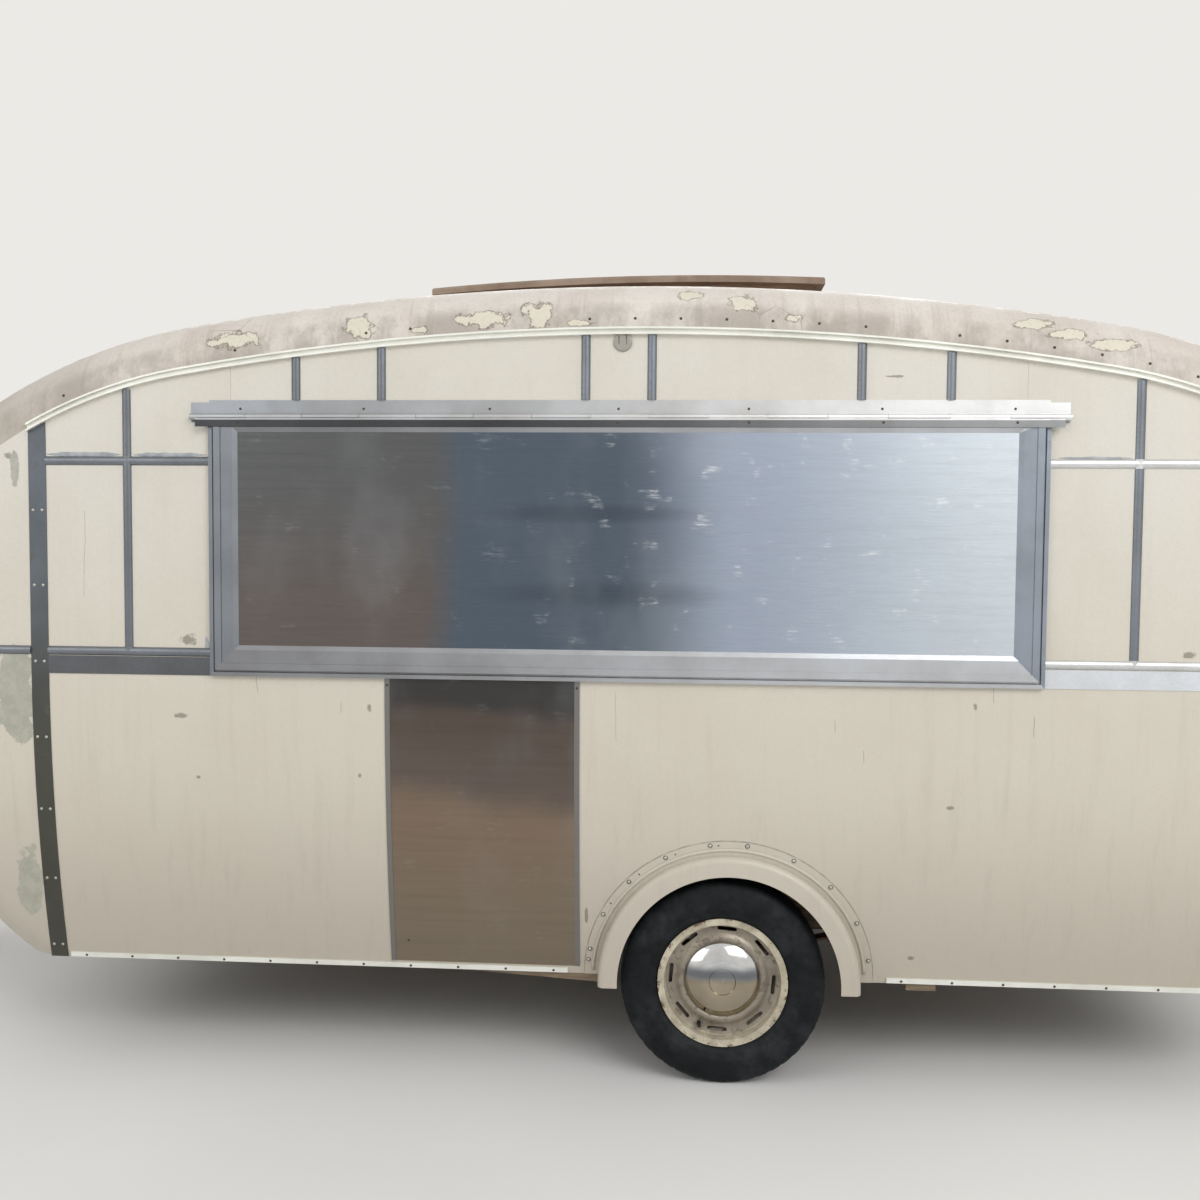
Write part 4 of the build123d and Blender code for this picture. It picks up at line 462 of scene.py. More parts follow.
def infill_metal():
    """Bare sheet over the old doorway, held by paler strips, with a painted reflection: dark high up, browner
    low down.
    """
    look = Look("infill_metal", metallic=0.75)
    sag = look.span(look.noise(2.5, 3), 0.3, 0.7, -0.03, 0.03)
    up = look.math("ADD", look.z, sag)
    # painted reflection: dark high up, browner low down
    base = look.ramp(
        up, (0.40, "847868"), (0.74, "857362"), (0.86, "665c56"), (1.02, "5c514a"), (1.09, "434140"))
    brushed_sheet(look, base, 0.07, 0.05)
    half = 0.0075
    strips = look.either(*(look.band(look.run, x - half, x + half, 0.0004) for x in INFILL_STRIPS))
    sheet = look.shader.inputs["Base Color"].links[0].from_socket
    look.paint(look.mix(strips, sheet, colour("7f7c78")))
    return look.material


def rusty_paint(name, tone, rust_share, dusty=0.45):
    """Dark paint broken by rust and dulled by dust. More rust_share leaves less rust."""
    look = Look(name)
    coat = look.mix(look.span(look.noise(12, 4), 0.3, 0.7), colour(tone), colour("3a3632"))
    rust = look.span(look.noise(24, 7, 0.72, shift=2.0), rust_share, rust_share + 0.08)
    rust_tone = look.mix(look.span(look.noise(80, 3), 0.3, 0.7), colour("6b3a1e"), colour("8a5a35"))
    coat = look.mix(rust, coat, rust_tone)
    dust = look.span(look.noise(9, 5, shift=6.0), 0.4, 0.8, 0, dusty)
    look.paint(look.mix(dust, coat, colour("7a6d5c")))
    look.rough(look.span(rust, 0, 1, 0.55, 0.85))
    look.bump(look.math("ADD", rust, look.both(look.noise(150, 3), 0.5)), 0.0008, 0.6)
    return look.material


def lantern_paint():
    """Thin old paint on the lantern: faded brown with darker streaks."""
    look = Look("lantern_paint", 0.7)
    base = look.mix(look.span(look.noise(6, 5, 0.6), 0.35, 0.7), colour("9f8b7a"), colour("877260"))
    streaks = look.noise(1.0, 5, 0.65, (18, 18, 2), 4.0)
    base = look.mix(look.span(streaks, 0.5, 0.72, 0, 0.35), base, colour("6f5a48"))
    look.paint(base)
    look.bump(look.noise(60, 4, 0.65), 0.0008, 0.5)
    return look.material


def rubber(name, dusty):
    """Black rubber with dusty patches."""
    look = Look(name)
    base = look.mix(look.span(look.noise(40, 4), 0.3, 0.7), colour("090c0e"), colour("12171a"))
    dust = look.both(look.span(look.noise(7, 6, 0.7), 0.45, 0.7), dusty)
    look.paint(look.mix(dust, base, colour("525559")))
    look.rough(look.span(dust, 0, 1, 0.6, 0.9))
    look.bump(look.noise(220, 3), 0.0004, 0.5)
    look.shader.inputs["Specular IOR Level"].default_value = 0.22
    return look.material


def wheel_radius(look):
    """How far a place is from the wheels' axis."""
    across = look.math("SUBTRACT", look.x, WHEEL_X)
    up = look.math("SUBTRACT", look.z, WHEEL_Z)
    return look.math("SQRT", look.math("ADD", look.both(across, across), look.both(up, up)))


def rim_paint():
    """Cream flange chipped to rust, dull silver-brown disc."""
    look = Look("rim_paint")
    far = wheel_radius(look)
    silver = look.mix(look.span(look.noise(9, 4), 0.3, 0.7), colour("a1988b"), colour("91897c"))
    cream = look.mix(look.span(look.noise(11, 4), 0.3, 0.7), colour("cfc6b0"), colour("b3a991"))
    base = look.mix(look.span(far, 0.158, 0.164), silver, cream)
    chips = look.span(look.noise(34, 7, 0.75, shift=1.0), 0.53, 0.59)
    edge = look.span(far, 0.172, 0.18, 0.15, 1.0)
    edge = look.math("MAXIMUM", edge, look.span(far, 0.166, 0.158, 0.1, 0.25))
    base = look.mix(look.both(chips, edge), base, colour("5a3a26"))
    grime = look.span(look.noise(16, 6, 0.7, shift=3.0), 0.4, 0.66)
    grime = look.both(grime, look.span(far, 0.1, 0.16, 0.2, 0.45))
    base = look.mix(grime, base, colour("5e5343"))
    look.paint(base)
    look.feed(look.shader.inputs["Metallic"], look.span(far, 0.164, 0.158, 0, 0.55))
    look.rough(look.span(chips, 0, 1, 0.36, 0.8))
    look.bump(look.math("SUBTRACT", look.noise(60, 3), chips), 0.0006, 0.4)
    return look.material


def chrome(name, tint, wear, painted_reflections=False):
    """Worn plating. The nave plates get painted reflections: their lower half painted brown for the ground
    and a dark band above the middle for a dark skyline.
    """
    look = Look(name, metallic=1.0)
    spots = look.span(look.noise(45, 6, 0.72, shift=5.0), wear, wear + 0.07)
    base = look.mix(look.span(look.noise(7, 4), 0.35, 0.7, 0, 0.5), colour(tint), colour("8d8c8a"))
    if painted_reflections:
        # painted reflections: lower half brown for the ground, a dark band above the middle for a dark
        # skyline
        low = look.span(look.z, WHEEL_Z + 0.016, WHEEL_Z - 0.004)
        brown = look.mix(look.span(look.noise(12, 3), 0.3, 0.7), colour("b5aa97"), colour("a19782"))
        base = look.mix(low, base, brown)
        dark = look.both(look.band(look.z, WHEEL_Z + 0.004, WHEEL_Z + 0.036, 0.012), 0.75)
        base = look.mix(dark, base, colour("474d55"))
    look.paint(look.mix(spots, base, colour("5b4a3a")))
    look.rough(look.math("ADD", look.span(look.noise(18, 4), 0.3, 0.7, 0.07, 0.2), look.both(spots, 0.45)))
    look.bump(look.noise(20, 2), 0.0006, 0.2)
    return look.material


def wood(name, dark, pale):
    """Weathered board with its grain along X."""
    look = Look(name, 0.65)
    grain = look.noise(7.0, 6, 0.65, (1, 12, 12), distortion=0.6)
    base = look.mix(look.span(grain, 0.35, 0.65), colour(dark), colour(pale))
    base = look.mix(look.span(look.noise(3, 5, shift=8.0), 0.45, 0.75, 0, 0.5), base, colour("6f655a"))
    look.paint(base)
    look.bump(grain, 0.001, 0.6)
    return look.material


def tail_plastic():
    """A red lens with level ribs."""
    look = Look("tail_plastic", 0.18)
    ribs_a_metre = 150.0
    ribs = look.math("SINE", look.math("MULTIPLY", look.z, ribs_a_metre * 2 * math.pi))
    look.paint(look.mix(look.span(look.noise(60, 3), 0.3, 0.8, 0, 0.4), colour("a01410"), colour("4a1513")))
    look.bump(ribs, 0.0006, 0.7)
    look.shader.inputs["Coat Weight"].default_value = 0.6
    return look.material


def window_glass():
    """Thin clear glass with smears."""
    look = Look("window_glass")
    smears = look.noise(9, 4)
    look.paint(look.mix(look.span(smears, 0.4, 0.7), colour("dfe8e6"), colour("c9d6d3")))
    look.rough(look.span(smears, 0.3, 0.8, 0.02, 0.09))
    look.shader.inputs["Transmission Weight"].default_value = 0.95
    look.shader.inputs["IOR"].default_value = 1.05
    return look.material


def putty(name, dark, pale):
    """Hardened sealant."""
    look = Look(name, 0.75)
    look.paint(look.mix(look.span(look.noise(28, 6, 0.7), 0.35, 0.65), colour(dark), colour(pale)))
    look.bump(look.noise(70, 5, 0.7), 0.0015, 0.7)
    return look.material


looks = {
    "wall_paint": wall_paint(),
    "roof_paint": roof_paint(),
    "lantern_paint": lantern_paint(),
    "lantern_wood": wood("lantern_wood", "7b6350", "a18468"),
    "floor_board": wood("floor_board", "5a4c3d", "83725c"),
    "bright_trim": metal("bright_trim", "f6f6ee", (0.3, 0.45), (1, 20, 20), 160, "5c5045", 0.69, 0.3),
    "bead_trim": metal("bead_trim", bead_tone, foul="67625a", share=0.66),
    "grey_trim": metal("grey_trim", strip_tone, (0.4, 0.55), (12, 12, 1), 160, "57553f", 0.6, 0.7),
    "hatch_metal": metal("hatch_metal", hatch_tone, (0.32, 0.46), (1, 16, 16), foul="6a6b6c", share=0.7),
    "panel_metal": panel_metal(),
    "infill_metal": infill_metal(),
    "eye_metal": metal("eye_metal", "a9a69e", foul="6a5b4c"),
    "tail_plastic": tail_plastic(),
    "fitting_chrome": chrome("fitting_chrome", "c4c5c6", 0.66),
    "window_glass": window_glass(),
    "chassis_paint": rusty_paint("chassis_paint", "252423", 0.56, 0.3),
    "cast_metal": rusty_paint("cast_metal", "4a4c4e", 0.6),
    "jockey_steel": metal("jockey_steel", "9a9c9c", (0.4, 0.6), foul="6f4a30"),
    "jockey_rubber": rubber("jockey_rubber", 0.4),
    "spring_steel": rusty_paint("spring_steel", "332e2a", 0.5),
    "rim_paint": rim_paint(),
    "cap_chrome": chrome("cap_chrome", "dadbdc", 0.68, True),
    "tyre": rubber("tyre", 0.22),
}
seal_grey = putty("sealant", "989da2", "b3b5b6")
dark_screw = metal("screw_metal", "57524b", (0.4, 0.6), foul="4d3a2c", share=0.56)
pale_screw = metal("rivet_metal", "c2c1bb", (0.35, 0.5))
black_rubber = rubber("seal_rubber", 0.2)

slots = {part["node"]: part["material_slot"] for part in frame["record"]["subparts"]}
for name, node in nodes.items():
    node.data.materials.clear()
    node.data.materials.append(looks[slots[name]])


# Pieces

def piece(name, mesh, material, body="body"):
    """A finished bmesh as an object that rides on a CAD body."""
    data = bpy.data.meshes.new(name)
    bmesh.ops.recalc_face_normals(mesh, faces=mesh.faces)
    mesh.to_mesh(data)
    mesh.free()
    data.materials.append(material)
    for face in data.polygons:
        face.use_smooth = True
    thing = bpy.data.objects.new(name, data)
    bpy.context.scene.collection.objects.link(thing)
    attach(thing, body)
    return thing


def facing(point, normal, spin=0.0):
    """A matrix whose local Z is the normal at a point."""
    turn = normal.to_track_quat("Z", "Y").to_matrix().to_4x4()
    return Matrix.Translation(point) @ turn @ Matrix.Rotation(spin, 4, "Z")


def join_rings(mesh, rings, closed=True):
    """Faces between each ring and the next, and from the last to the first if closed."""
    for low, high in zip(rings, rings[1:] + (rings[:1] if closed else [])):
        for i in range(len(low)):
            j = (i + 1) % len(low)
            mesh.faces.new((low[i], low[j], high[j], high[i]))


def ring_stack(mesh, place, profile, steps):
    """Rings of (radius, height) turned about local Z and closed at both ends."""
    rings = []
    for radius, height in profile:
        ring = []
        for i in range(steps):
            angle = 2 * math.pi * i / steps
            local = Vector((radius * math.cos(angle), radius * math.sin(angle), height))
            ring.append(mesh.verts.new(place @ local))
        rings.append(ring)
    join_rings(mesh, rings, closed=False)
    mesh.faces.new(list(reversed(rings[0])))
    mesh.faces.new(rings[-1])


def heads(name, places, size, material, body="body"):
    """One piece made of all the domed heads of one kind. size is their radius and height."""
    radius, height = size
    profile = (
        (radius, -0.0005), (radius * 0.98, height * 0.3), (radius * 0.72, height * 0.82),
        (radius * 0.2, height),
    )
    mesh = bmesh.new()
    turn = random.Random(name)
    for point, normal in places:
        ring_stack(mesh, facing(point, normal, turn.uniform(0, math.pi)), profile, 12)
    piece(name, mesh, material, body)


def mirrored(places):
    """The same places on the off side."""
    return [(Vector((p.x, -p.y, p.z)), Vector((n.x, -n.y, n.z))) for p, n in places]


def heads_both_sides(name, places, size, material):
    heads(f"{name}_near", places, size, material)
    heads(f"{name}_off", mirrored(places), size, material)


# Sizes of heads: radius, height
RAIL_SCREW = (0.004, 0.0018)
LEAF_SCREW = (0.0036, 0.0016)
STRIP_RIVET = (0.0045, 0.0022)
SPAT_RING, SPAT_BOLT, SPAT_PLUG = (0.0068, 0.0009), (0.0052, 0.0042), (0.0024, 0.0008)
SILL_SCREW = (0.0038, 0.0018)
INFILL_SCREW = (0.0035, 0.0018)
FRAME_RIVET = (0.004, 0.002)

RAIL_SCREW_PITCH = 0.1235
RAIL_SCREWS_FILLED = (1, 2, 3, 5, 6, 9, 10, 11, 19)  # those hidden by filler
rail_screws = []
count = int(2 * STRIP_X / RAIL_SCREW_PITCH)
for i in range(count):
    x = (i + 0.5 - count / 2) * RAIL_SCREW_PITCH
    if i not in RAIL_SCREWS_FILLED:
        rail_screws.append(roof_skin(x, RAIL_DEPTH - RAIL_HALF - RAIL_SCREW_GAP))
heads_both_sides("rail_screws", rail_screws, RAIL_SCREW, dark_screw)

HINGE_SCREW_XS = (-1.095, -0.747, -0.396, -0.043, 0.309, 0.664, 1.013)
FIXED_SCREW_Z, MOVING_SCREW_Z = 1.885, 1.8465
NEARWARDS = Vector((0, -1, 0))
fixed_screws = [(Vector((BODY_X + x, FIXED_LEAF_Y, FIXED_SCREW_Z)), NEARWARDS) for x in HINGE_SCREW_XS]
moving_screws = [(Vector((BODY_X + x, MOVING_LEAF_Y, MOVING_SCREW_Z)), NEARWARDS) for x in HINGE_SCREW_XS]
heads("hatch_leaf_screws", fixed_screws, LEAF_SCREW, dark_screw)
heads("hatch_flap_screws", moving_screws, LEAF_SCREW, dark_screw, "hatch_flap")

STRIP_RIVET_ZS = (1.601, 1.389, 1.1725, 0.955, 0.744, 0.536, 0.329)
STRIP_RIVET_X, STRIP_T = 0.013, 0.002
strip_rivets = []
for end in (-1, 1):
    for z in STRIP_RIVET_ZS:
        for dx in (-STRIP_RIVET_X, STRIP_RIVET_X):
            strip_rivets.append(side_skin(end * STRIP_X + dx, z, STRIP_T))
heads_both_sides("strip_rivets", strip_rivets, STRIP_RIVET, pale_screw)

SPAT_BOLT_ANGLES = (-83.6, -78.8, -62.6, -44.8, -26.6, -7.9, 7.0, 26.4, 44.8, 63.4, 80.3)
SPAT_PLUG_ANGLES = (-56.8, -39.5, -22.4, -4.6)
SPAT_FLANGE_T = 0.003
ROLL_R, ROLL_FROM, ROLL_TO, ROLL_STEPS = 0.382, -88.0, 86.0, 72
ROLL_SECTION = (
    (-0.0055, -0.0004), (-0.004, 0.0026), (-0.0015, 0.0042), (0.0015, 0.0042), (0.004, 0.0026),
    (0.0055, -0.0004),
)


def round_the_spat(angles, radius):
    """Places on the spat's flange at angles from straight up."""
    turns = (turned(SPAT, radius, math.radians(a)) for a in angles)
    return [side_skin(x, z, SPAT_FLANGE_T) for x, z in turns]


def spat_roll(side):
    """The rolled ridge inside the spat's bolts, from foot to foot."""
    mesh = bmesh.new()
    rings = []
    for i in range(ROLL_STEPS + 1):
        angle = math.radians(ROLL_FROM + (ROLL_TO - ROLL_FROM) * i / ROLL_STEPS)
        ring = []
        for out, lift in ROLL_SECTION:
            x, z = turned(SPAT, ROLL_R + out, angle)
            ring.append(mesh.verts.new(side_skin(x, z, SPAT_FLANGE_T + lift, side)[0]))
        rings.append(ring)
    join_rings(mesh, rings, closed=False)
    mesh.faces.new(rings[0])
    mesh.faces.new(rings[-1])
    return mesh


spat_bolts = round_the_spat(SPAT_BOLT_ANGLES, SPAT_BOLT_R)
spat_plugs = round_the_spat(SPAT_PLUG_ANGLES, SPAT_BOLT_R - 0.002)
for hand, flip in (("near", list), ("off", mirrored)):
    piece(f"spat_roll_{hand}", spat_roll(SIDES[hand]), looks["wall_paint"])
    heads(f"spat_bolt_rings_{hand}", flip(spat_bolts), SPAT_RING, dark_screw)
    heads(f"spat_bolts_{hand}", flip(spat_bolts), SPAT_BOLT, pale_screw)
    heads(f"spat_plugs_{hand}", flip(spat_plugs), SPAT_PLUG, dark_screw)

SILL_RUNS = ((-1.6, -0.22), (0.76, 1.6))  # before and behind the wheel
SILL_SCREW_PITCH, SILL_SCREW_Z, SILL_T = 0.138, SKIRT_Z + 0.0095, 0.006
sill_screws = []
for low, high in SILL_RUNS:
    steps = int((high - low) / SILL_SCREW_PITCH)
    for i in range(steps + 1):
        sill_screws.append(side_skin(low + (high - low) * i / steps, SILL_SCREW_Z, SILL_T))
heads_both_sides("sill_screws", sill_screws, SILL_SCREW, dark_screw)

INFILL_SCREW_Z, INFILL_DOT = 1.12, (-0.638, 0.376)
infill_screws = [side_skin(x, INFILL_SCREW_Z, 0.003) for x in INFILL_STRIPS]
infill_screws.append(side_skin(*INFILL_DOT, 0.0015))
heads("infill_screws", infill_screws, INFILL_SCREW, dark_screw)


def ragged_band(name, x_low, x_high, z_low, z_high, seed, rough):
    """A smear of sealant: a thin patch on the near side's wall with uneven edges."""
    draw = random.Random(seed)
    crown, root, spill, pitch, ease = 0.0007, -0.0004, 0.0006, 0.008, 0.45
    steps = max(8, int((x_high - x_low) / pitch))
    section = ((0.0, root), (0.12, crown * 0.7), (0.5, crown), (0.88, crown * 0.7), (1.0, root))
    mesh = bmesh.new()
    rows = []
    top = bottom = 0.0
    height = z_high - z_low
    middle = (z_low + z_high) / 2
    for i in range(steps + 1):
        share = i / steps
        taper = min(1.0, 6 * share, 6 * (1 - share))
        top += (draw.uniform(-1, 1) * rough * height - top) * ease
        bottom += (draw.uniform(-1, 1) * rough * height - bottom) * ease
        x = x_low + (x_high - x_low) * share
        z_from = middle - (height / 2 + bottom) * taper - spill
        z_to = middle + (height / 2 + top) * taper + spill
        places = [side_skin(x, z_from + (z_to - z_from) * t, lift)[0] for t, lift in section]
        rows.append([mesh.verts.new(place) for place in places])
    for a, b in zip(rows, rows[1:]):
        for i in range(len(section) - 1):
            mesh.faces.new((a[i], b[i], b[i + 1], a[i + 1]))
    piece(name, mesh, seal_grey)


SEALANT = (  # name, x from and to, z from and to, seed, unevenness
    ("sealant_bead_front", -1.657, -1.44, 1.752, 1.764, 3, 0.25),
    ("sealant_bead_mid", -1.405, -1.192, 1.752, 1.763, 5, 0.25),
    ("sealant_bead_rear", 1.13, 1.32, 1.752, 1.759, 7, 0.25),
    ("sealant_hatch_corner", -1.203, -1.19, 1.192, 1.25, 11, 0.4),
)
for band in SEALANT:
    ragged_band(*band)


# Wheels: tyres with cut treads, slotted rims, and valves through the discs
TYRE_PROFILE = (  # distance from the tyre's middle plane, radius
    (0.0, 0.2888), (0.009, 0.2888), (0.0095, 0.2815), (0.0135, 0.2815), (0.014, 0.2886), (0.031, 0.2881),
    (0.0315, 0.281), (0.0355, 0.281), (0.036, 0.2875), (0.054, 0.286), (0.0605, 0.2845), (0.067, 0.2765),
    (0.0725, 0.264), (0.0768, 0.249), (0.0786, 0.234), (0.0786, 0.222), (0.0768, 0.21), (0.0755, 0.2085),
    (0.0742, 0.204), (0.0715, 0.197), (0.067, 0.1895), (0.061, 0.1852), (0.0585, 0.183), (0.057, 0.1686),
    (0.046, 0.1686), (0.051, 0.19), (0.061, 0.226), (0.052, 0.255), (0.0, 0.268),
)
TREAD_STEPS = 180
LUG_STEPS = 4
ZIGZAG, NOTCH = 0.003, 0.0014
TYRE_CREASE, RIM_CREASE = 38, 35  # degrees


def tyre(side):
    """A cross-ply tyre: ribbed tread with zigzag grooves and faintly notched shoulders."""
    outline = list(TYRE_PROFILE) + [(-y, r) for y, r in reversed(TYRE_PROFILE[1:-1])]
    mesh = bmesh.new()
    rings = []
    for i in range(TREAD_STEPS):
        angle = 2 * math.pi * i / TREAD_STEPS
        phase = i % LUG_STEPS
        zigzag = ZIGZAG if phase < LUG_STEPS / 2 else -ZIGZAG
        notch = NOTCH if phase == 0 else 0.0
        ring = []
        for y, r in outline:
            away = abs(y)
            shift = zigzag if 0.005 < away < 0.045 and r > 0.27 else 0.0
            cut = notch if 0.05 < away < 0.0735 and r > 0.26 else 0.0
            x, z = turned((WHEEL_X, WHEEL_Z), r - cut, angle)
            ring.append(mesh.verts.new((x, side * WHEEL_Y + y + shift, z)))
        rings.append(ring)
    join_rings(mesh, rings)
    return mesh


# The rim's barrel with its flanges, and the dished disc: distance outboard, radius
BARREL = (
    (0.0595, 0.1825), (0.0575, 0.168), (0.016, 0.165), (0.006, 0.15), (-0.04, 0.15), (-0.048, 0.165),
    (-0.0575, 0.168), (-0.0595, 0.1825), (-0.0635, 0.1825), (-0.0615, 0.164), (-0.0501, 0.161),
    (-0.0421, 0.146), (0.0081, 0.146), (0.0181, 0.161), (0.0615, 0.164), (0.0635, 0.1825),
)
DISC_FACE = (
    (0.012, 0.042), (0.012, 0.085), (0.026, 0.098), (0.032, 0.107), (0.035, 0.112), (0.036, 0.117),
    (0.034, 0.123), (0.030, 0.129), (0.028, 0.134), (0.028, 0.152), (0.033, 0.1625),
)
DISC_T = 0.004
SLOTS, SLOT_R, SLOT_HALF_L, SLOT_HALF_W, SLOT_TURN = 8, 0.145, 0.028, 0.0055, 5.0
SLOT_CUT = (0.018, 0.045)  # how far outboard the cutters reach, from and to
VALVE_R, VALVE_ANGLE, VALVE_FOOT = 0.143, 206.5, 0.025
VALVE_PROFILE = (
    (0.0055, 0), (0.0055, 0.012), (0.0035, 0.014), (0.0035, 0.022), (0.0046, 0.0225), (0.0046, 0.031),
    (0.003, 0.033),
)


def turned_section(mesh, section, side, steps=144):
    """A closed outline of (distance outboard, radius) turned about a wheel's axis."""
    rings = []
    for i in range(steps):
        ring = []
        for y, r in section:
            x, z = turned((WHEEL_X, WHEEL_Z), r, 2 * math.pi * i / steps)
            ring.append(mesh.verts.new((x, side * (WHEEL_Y + y), z)))
        rings.append(ring)
    join_rings(mesh, rings)


def slot_cutters(side):
    """Round-ended blocks through the disc, their long sides along its rim."""
    mesh = bmesh.new()
    for n in range(SLOTS):
        turn = math.radians(SLOT_TURN + 360 * n / SLOTS)
        outline = []
        for end in (1, -1):
            for i in range(9):
                a = math.radians(-90 + 180 * i / 8)
                along = end * (SLOT_HALF_L - SLOT_HALF_W + SLOT_HALF_W * math.cos(a))
                out = SLOT_R + end * SLOT_HALF_W * math.sin(a)
                outline.append((WHEEL_X + out * math.sin(turn) + along * math.cos(turn),
                                WHEEL_Z + out * math.cos(turn) - along * math.sin(turn)))
        ends = [[mesh.verts.new((x, side * (WHEEL_Y + y), z)) for x, z in outline] for y in SLOT_CUT]
        join_rings(mesh, ends, closed=False)
        mesh.faces.new(ends[0])
        mesh.faces.new(ends[1])
    return mesh


def less(whole, cutter):
    """The first mesh with the second cut out of it."""
    things = []
    for part in (whole, cutter):
        bmesh.ops.recalc_face_normals(part, faces=part.faces)
        data = bpy.data.meshes.new("cut")
        part.to_mesh(data)
        part.free()
        things.append(bpy.data.objects.new("cut", data))
        bpy.context.scene.collection.objects.link(things[-1])
    modifier = things[0].modifiers.new("cut", "BOOLEAN")
    modifier.operation = "DIFFERENCE"
    modifier.object = things[1]
    graph = bpy.context.evaluated_depsgraph_get()
    data = bpy.data.meshes.new_from_object(things[0].evaluated_get(graph))
    result = bmesh.new()
    result.from_mesh(data)
    for thing in things:
        bpy.data.objects.remove(thing)
    bpy.data.meshes.remove(data)
    return result


for hand, side in SIDES.items():
    body = f"wheel_{hand}"
    disc = bmesh.new()
    turned_section(disc, DISC_FACE + tuple((y - DISC_T, r) for y, r in reversed(DISC_FACE)), side)
    disc = less(disc, slot_cutters(side))
    turned_section(disc, BARREL, side)
    thing = piece(f"slotted_rim_{hand}", disc, looks["rim_paint"], body)
    thing.data.set_sharp_from_angle(angle=math.radians(RIM_CREASE))
    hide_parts(f"rim_{hand}")
    thing = piece(f"tyre_tread_{hand}", tyre(side), looks["tyre"], body)
    thing.data.set_sharp_from_angle(angle=math.radians(TYRE_CREASE))
    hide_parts(f"tyre_{hand}")
    mesh = bmesh.new()
    x, z = turned((WHEEL_X, WHEEL_Z), VALVE_R, math.radians(VALVE_ANGLE))
    foot = Vector((x, side * (WHEEL_Y + VALVE_FOOT), z))
    ring_stack(mesh, facing(foot, Vector((0, side, 0))), VALVE_PROFILE, 16)
    piece(f"tyre_valve_{hand}", mesh, black_rubber, body)


# The tail lamps' bezels, the windows' seals and the rivets of their frames
LAMP_Y, LAMP_Z, LAMP_INSET, BEZEL_R, BEZEL_HALF = 0.7, 0.93, 0.004, 0.05, 0.006
SEAL_SECTION = ((-0.004, 0.0), (-0.003, 0.0035), (0.0, 0.0045), (0.003, 0.003), (0.0035, 0.0))
OFF_WINDOWS = ((-1.18, 0.40), (0.328, 0.47), (1.092, 0.40))  # middle along X, width
WINDOW_MID, WINDOW_H = 1.49, 0.40
END_MID, END_W, END_H = 1.3775, 1.04, 0.255
SEAL_GAP, SEAL_CORNER_R, SEAL_INSET = 0.016, 0.032, 0.012
RIVET_OUT, FRAME_T = 0.013, 0.008
OFFWARDS = Vector((0, 1, 0))


def bezel(mesh, place, radius, thickness, steps=48, around=10):
    """A round bead in a ring about local Z."""
    rings = []
    for i in range(steps):
        a = 2 * math.pi * i / steps
        ring = []
        for j in range(around):
            b = 2 * math.pi * j / around
            far = radius + thickness * math.cos(b)
            local = Vector((far * math.cos(a), far * math.sin(a), thickness * math.sin(b)))
            ring.append(mesh.verts.new(place @ local))
        rings.append(ring)
    join_rings(mesh, rings)


mesh = bmesh.new()
low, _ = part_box("tail_lamps")
for y in (-LAMP_Y, LAMP_Y):
    place = facing(Vector((low.x + LAMP_INSET, y, LAMP_Z)), Vector((1, 0, 0)))
    bezel(mesh, place, BEZEL_R, BEZEL_HALF)
piece("tail_lamp_bezels", mesh, looks["fitting_chrome"])


def rounded_loop(width, height, radius, steps=8):
    """Points of a rounded rectangle in order, with the way each faces outwards."""
    points = []
    for cx, cy, start in ((1, 1, 0), (-1, 1, 90), (-1, -1, 180), (1, -1, 270)):
        for i in range(steps + 1):
            a = math.radians(start + 90 * i / steps)
            middle = Vector((cx * (width / 2 - radius), cy * (height / 2 - radius)))
            out = Vector((math.cos(a), math.sin(a)))
            points.append((middle + out * radius, out))
    return points


def seal(mesh, place, width, height):
    """A rubber strip round a window of the given size, its section given as (out, up) pairs."""
    rings = []
    for point, out in rounded_loop(width - SEAL_GAP, height - SEAL_GAP, SEAL_CORNER_R):
        ring = [mesh.verts.new(place @ Vector((*(point + out * a), b))) for a, b in SEAL_SECTION]
        rings.append(ring)
    join_rings(mesh, rings)


mesh = bmesh.new()
for x, width in OFF_WINDOWS:
    seal(mesh, facing(Vector((BODY_X + x, HALF_WIDTH - SEAL_INSET, WINDOW_MID)), OFFWARDS), width, WINDOW_H)
for side in (-1, 1):
    where = Vector((BODY_X + side * (HALF_LENGTH - SEAL_INSET), 0, END_MID))
    turn = Matrix.Rotation(side * math.pi / 2, 4, "Z") @ Matrix.Rotation(math.pi / 2, 4, "X")
    seal(mesh, Matrix.Translation(where) @ turn, END_W, END_H)
piece("window_seals", mesh, black_rubber)

frame_rivets = []
for middle, width in OFF_WINDOWS:
    reach = (width / 2 + RIVET_OUT, WINDOW_H / 2 + RIVET_OUT)
    for share in (-0.7, -0.23, 0.23, 0.7):
        for edge in (-1, 1):
            for u, v in ((share, edge), (edge, share)):
                x, z = BODY_X + middle + u * reach[0], WINDOW_MID + v * reach[1]
                frame_rivets.append((Vector((x, HALF_WIDTH + FRAME_T, z)), OFFWARDS))
for side in (-1, 1):
    reach = (END_W / 2 + RIVET_OUT, END_H / 2 + RIVET_OUT)
    x = BODY_X + side * (HALF_LENGTH + FRAME_T)
    spots = [(u, v) for u in (-0.85, -0.5, -0.17, 0.17, 0.5, 0.85) for v in (-1, 1)]
    for u, v in spots + [(-1, 0), (1, 0)]:
        frame_rivets.append((Vector((x, u * reach[0], END_MID + v * reach[1])), Vector((side, 0, 0))))
heads("window_frame_rivets", frame_rivets, FRAME_RIVET, pale_screw)


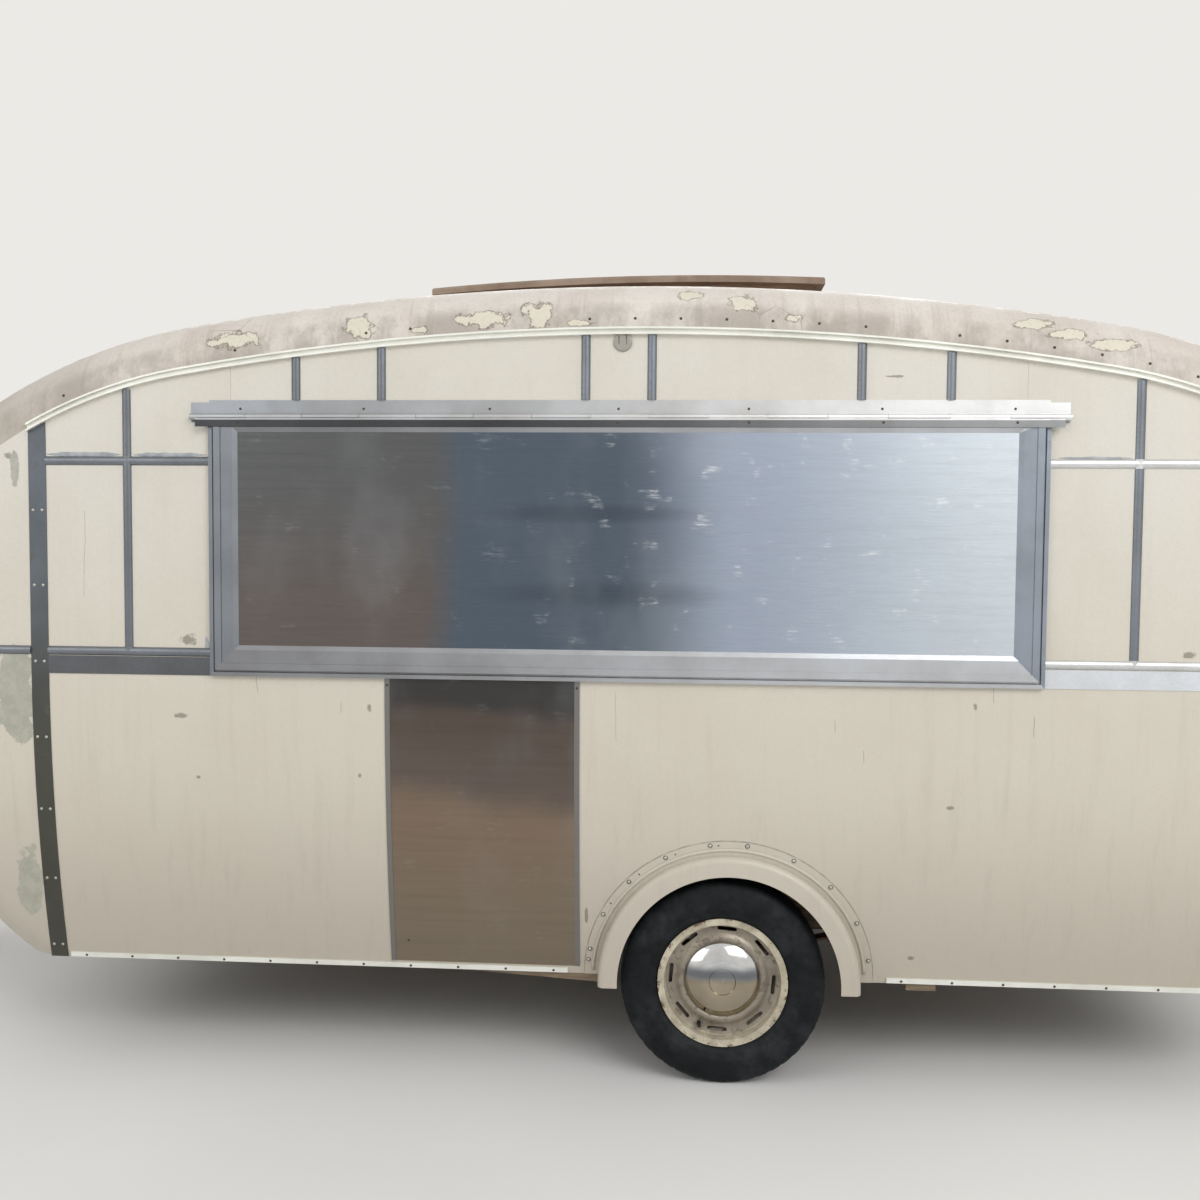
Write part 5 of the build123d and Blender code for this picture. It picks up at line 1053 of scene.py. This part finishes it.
# Floor, light and camera
SKY_LOW, SKY_HIGH, SKY_RISE = 0.43, 0.75, 0.7
SKY_LIGHT = (0.97, 0.98, 1.0, 1.0)
BACKGROUND = "eceae6"  # what the camera, mirrors and glass see
LAMPS = (  # name, place, what it points at, size, watts
    ("soft_key", (5.0, -7.0, 6.0), (0.4, 0, 1.2), (6, 4), 330),
    ("soft_fill", (-5.0, -5.5, 4.0), (0.2, 0, 1.0), (5, 4), 95),
    ("soft_back", (0.5, 7.0, 6.0), (0.5, 0, 1.2), (7, 4), 300),
)
LENS, SENSOR = 35.7, 36.0
CAMERA_PLACE = (0.6625, -4.244, 1.528)
YAW, PITCH, ROLL = (math.radians(a) for a in (-3.976, -2.875, -0.446))

bpy.ops.mesh.primitive_grid_add(size=60, x_subdivisions=2, y_subdivisions=2, location=(0, 0, 0))
floor = bpy.context.object
floor.name = "studio_floor"
pale = Look("studio_floor", 0.9)
pale.paint(pale.mix(pale.span(pale.noise(0.8, 2), 0.3, 0.7), colour("e4e3e0"), colour("e8e7e4")))
floor.data.materials.append(pale.material)
floor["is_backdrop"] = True

world = bpy.data.worlds.new("studio")
bpy.context.scene.world = world
sky = Nodes(world)
split = sky.add("SeparateXYZ", Vector=sky.add("TexCoord").outputs["Generated"])
rise = sky.add("MapRange", Value=split.outputs[2], From_Min=0.0, From_Max=SKY_RISE,
               To_Min=SKY_LOW, To_Max=SKY_HIGH)
light = sky.add("Background", Color=SKY_LIGHT, Strength=rise.outputs[0])
shown = sky.add("Background", Color=colour(BACKGROUND))
ray = sky.add("LightPath").outputs
seen = sky.math("MAXIMUM", ray["Is Glossy Ray"], ray["Is Transmission Ray"])
seen = sky.math("MAXIMUM", ray["Is Camera Ray"], seen)
pick = sky.add("MixShader")
for socket, value in zip(pick.inputs, (seen, light.outputs[0], shown.outputs[0])):
    sky.feed(socket, value)
sky.add("OutputWorld", Surface=pick.outputs[0])

for name, place, target, size, watts in LAMPS:
    data = bpy.data.lights.new(name, "AREA")
    data.shape = "RECTANGLE"
    data.size, data.size_y = size
    data.energy = watts
    lamp = bpy.data.objects.new(name, data)
    bpy.context.scene.collection.objects.link(lamp)
    lamp.location = place
    lamp.rotation_euler = (Vector(target) - Vector(place)).to_track_quat("-Z", "Y").to_euler()

camera_data = bpy.data.cameras.new("camera")
camera_data.lens = LENS
camera_data.sensor_width = SENSOR
camera = bpy.data.objects.new("camera", camera_data)
bpy.context.scene.collection.objects.link(camera)
ahead = Vector((math.sin(YAW) * math.cos(PITCH), math.cos(YAW) * math.cos(PITCH), math.sin(PITCH)))
right = Vector((math.cos(YAW), -math.sin(YAW), 0))
down = ahead.cross(right)
across = math.cos(ROLL) * right + math.sin(ROLL) * down
below = -math.sin(ROLL) * right + math.cos(ROLL) * down
turn = Matrix((across, -below, -ahead)).transposed().to_4x4()
camera.matrix_world = Matrix.Translation(CAMERA_PLACE) @ turn
bpy.context.scene.camera = camera
bpy.context.scene.view_settings.view_transform = "Standard"


def plain(value):
    """Vectors and tuples as lists of numbers."""
    if hasattr(value, "__len__"):
        return [plain(v) for v in value]
    return float(value)


{"cad": plain(cad_box), "visual": plain(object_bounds())}
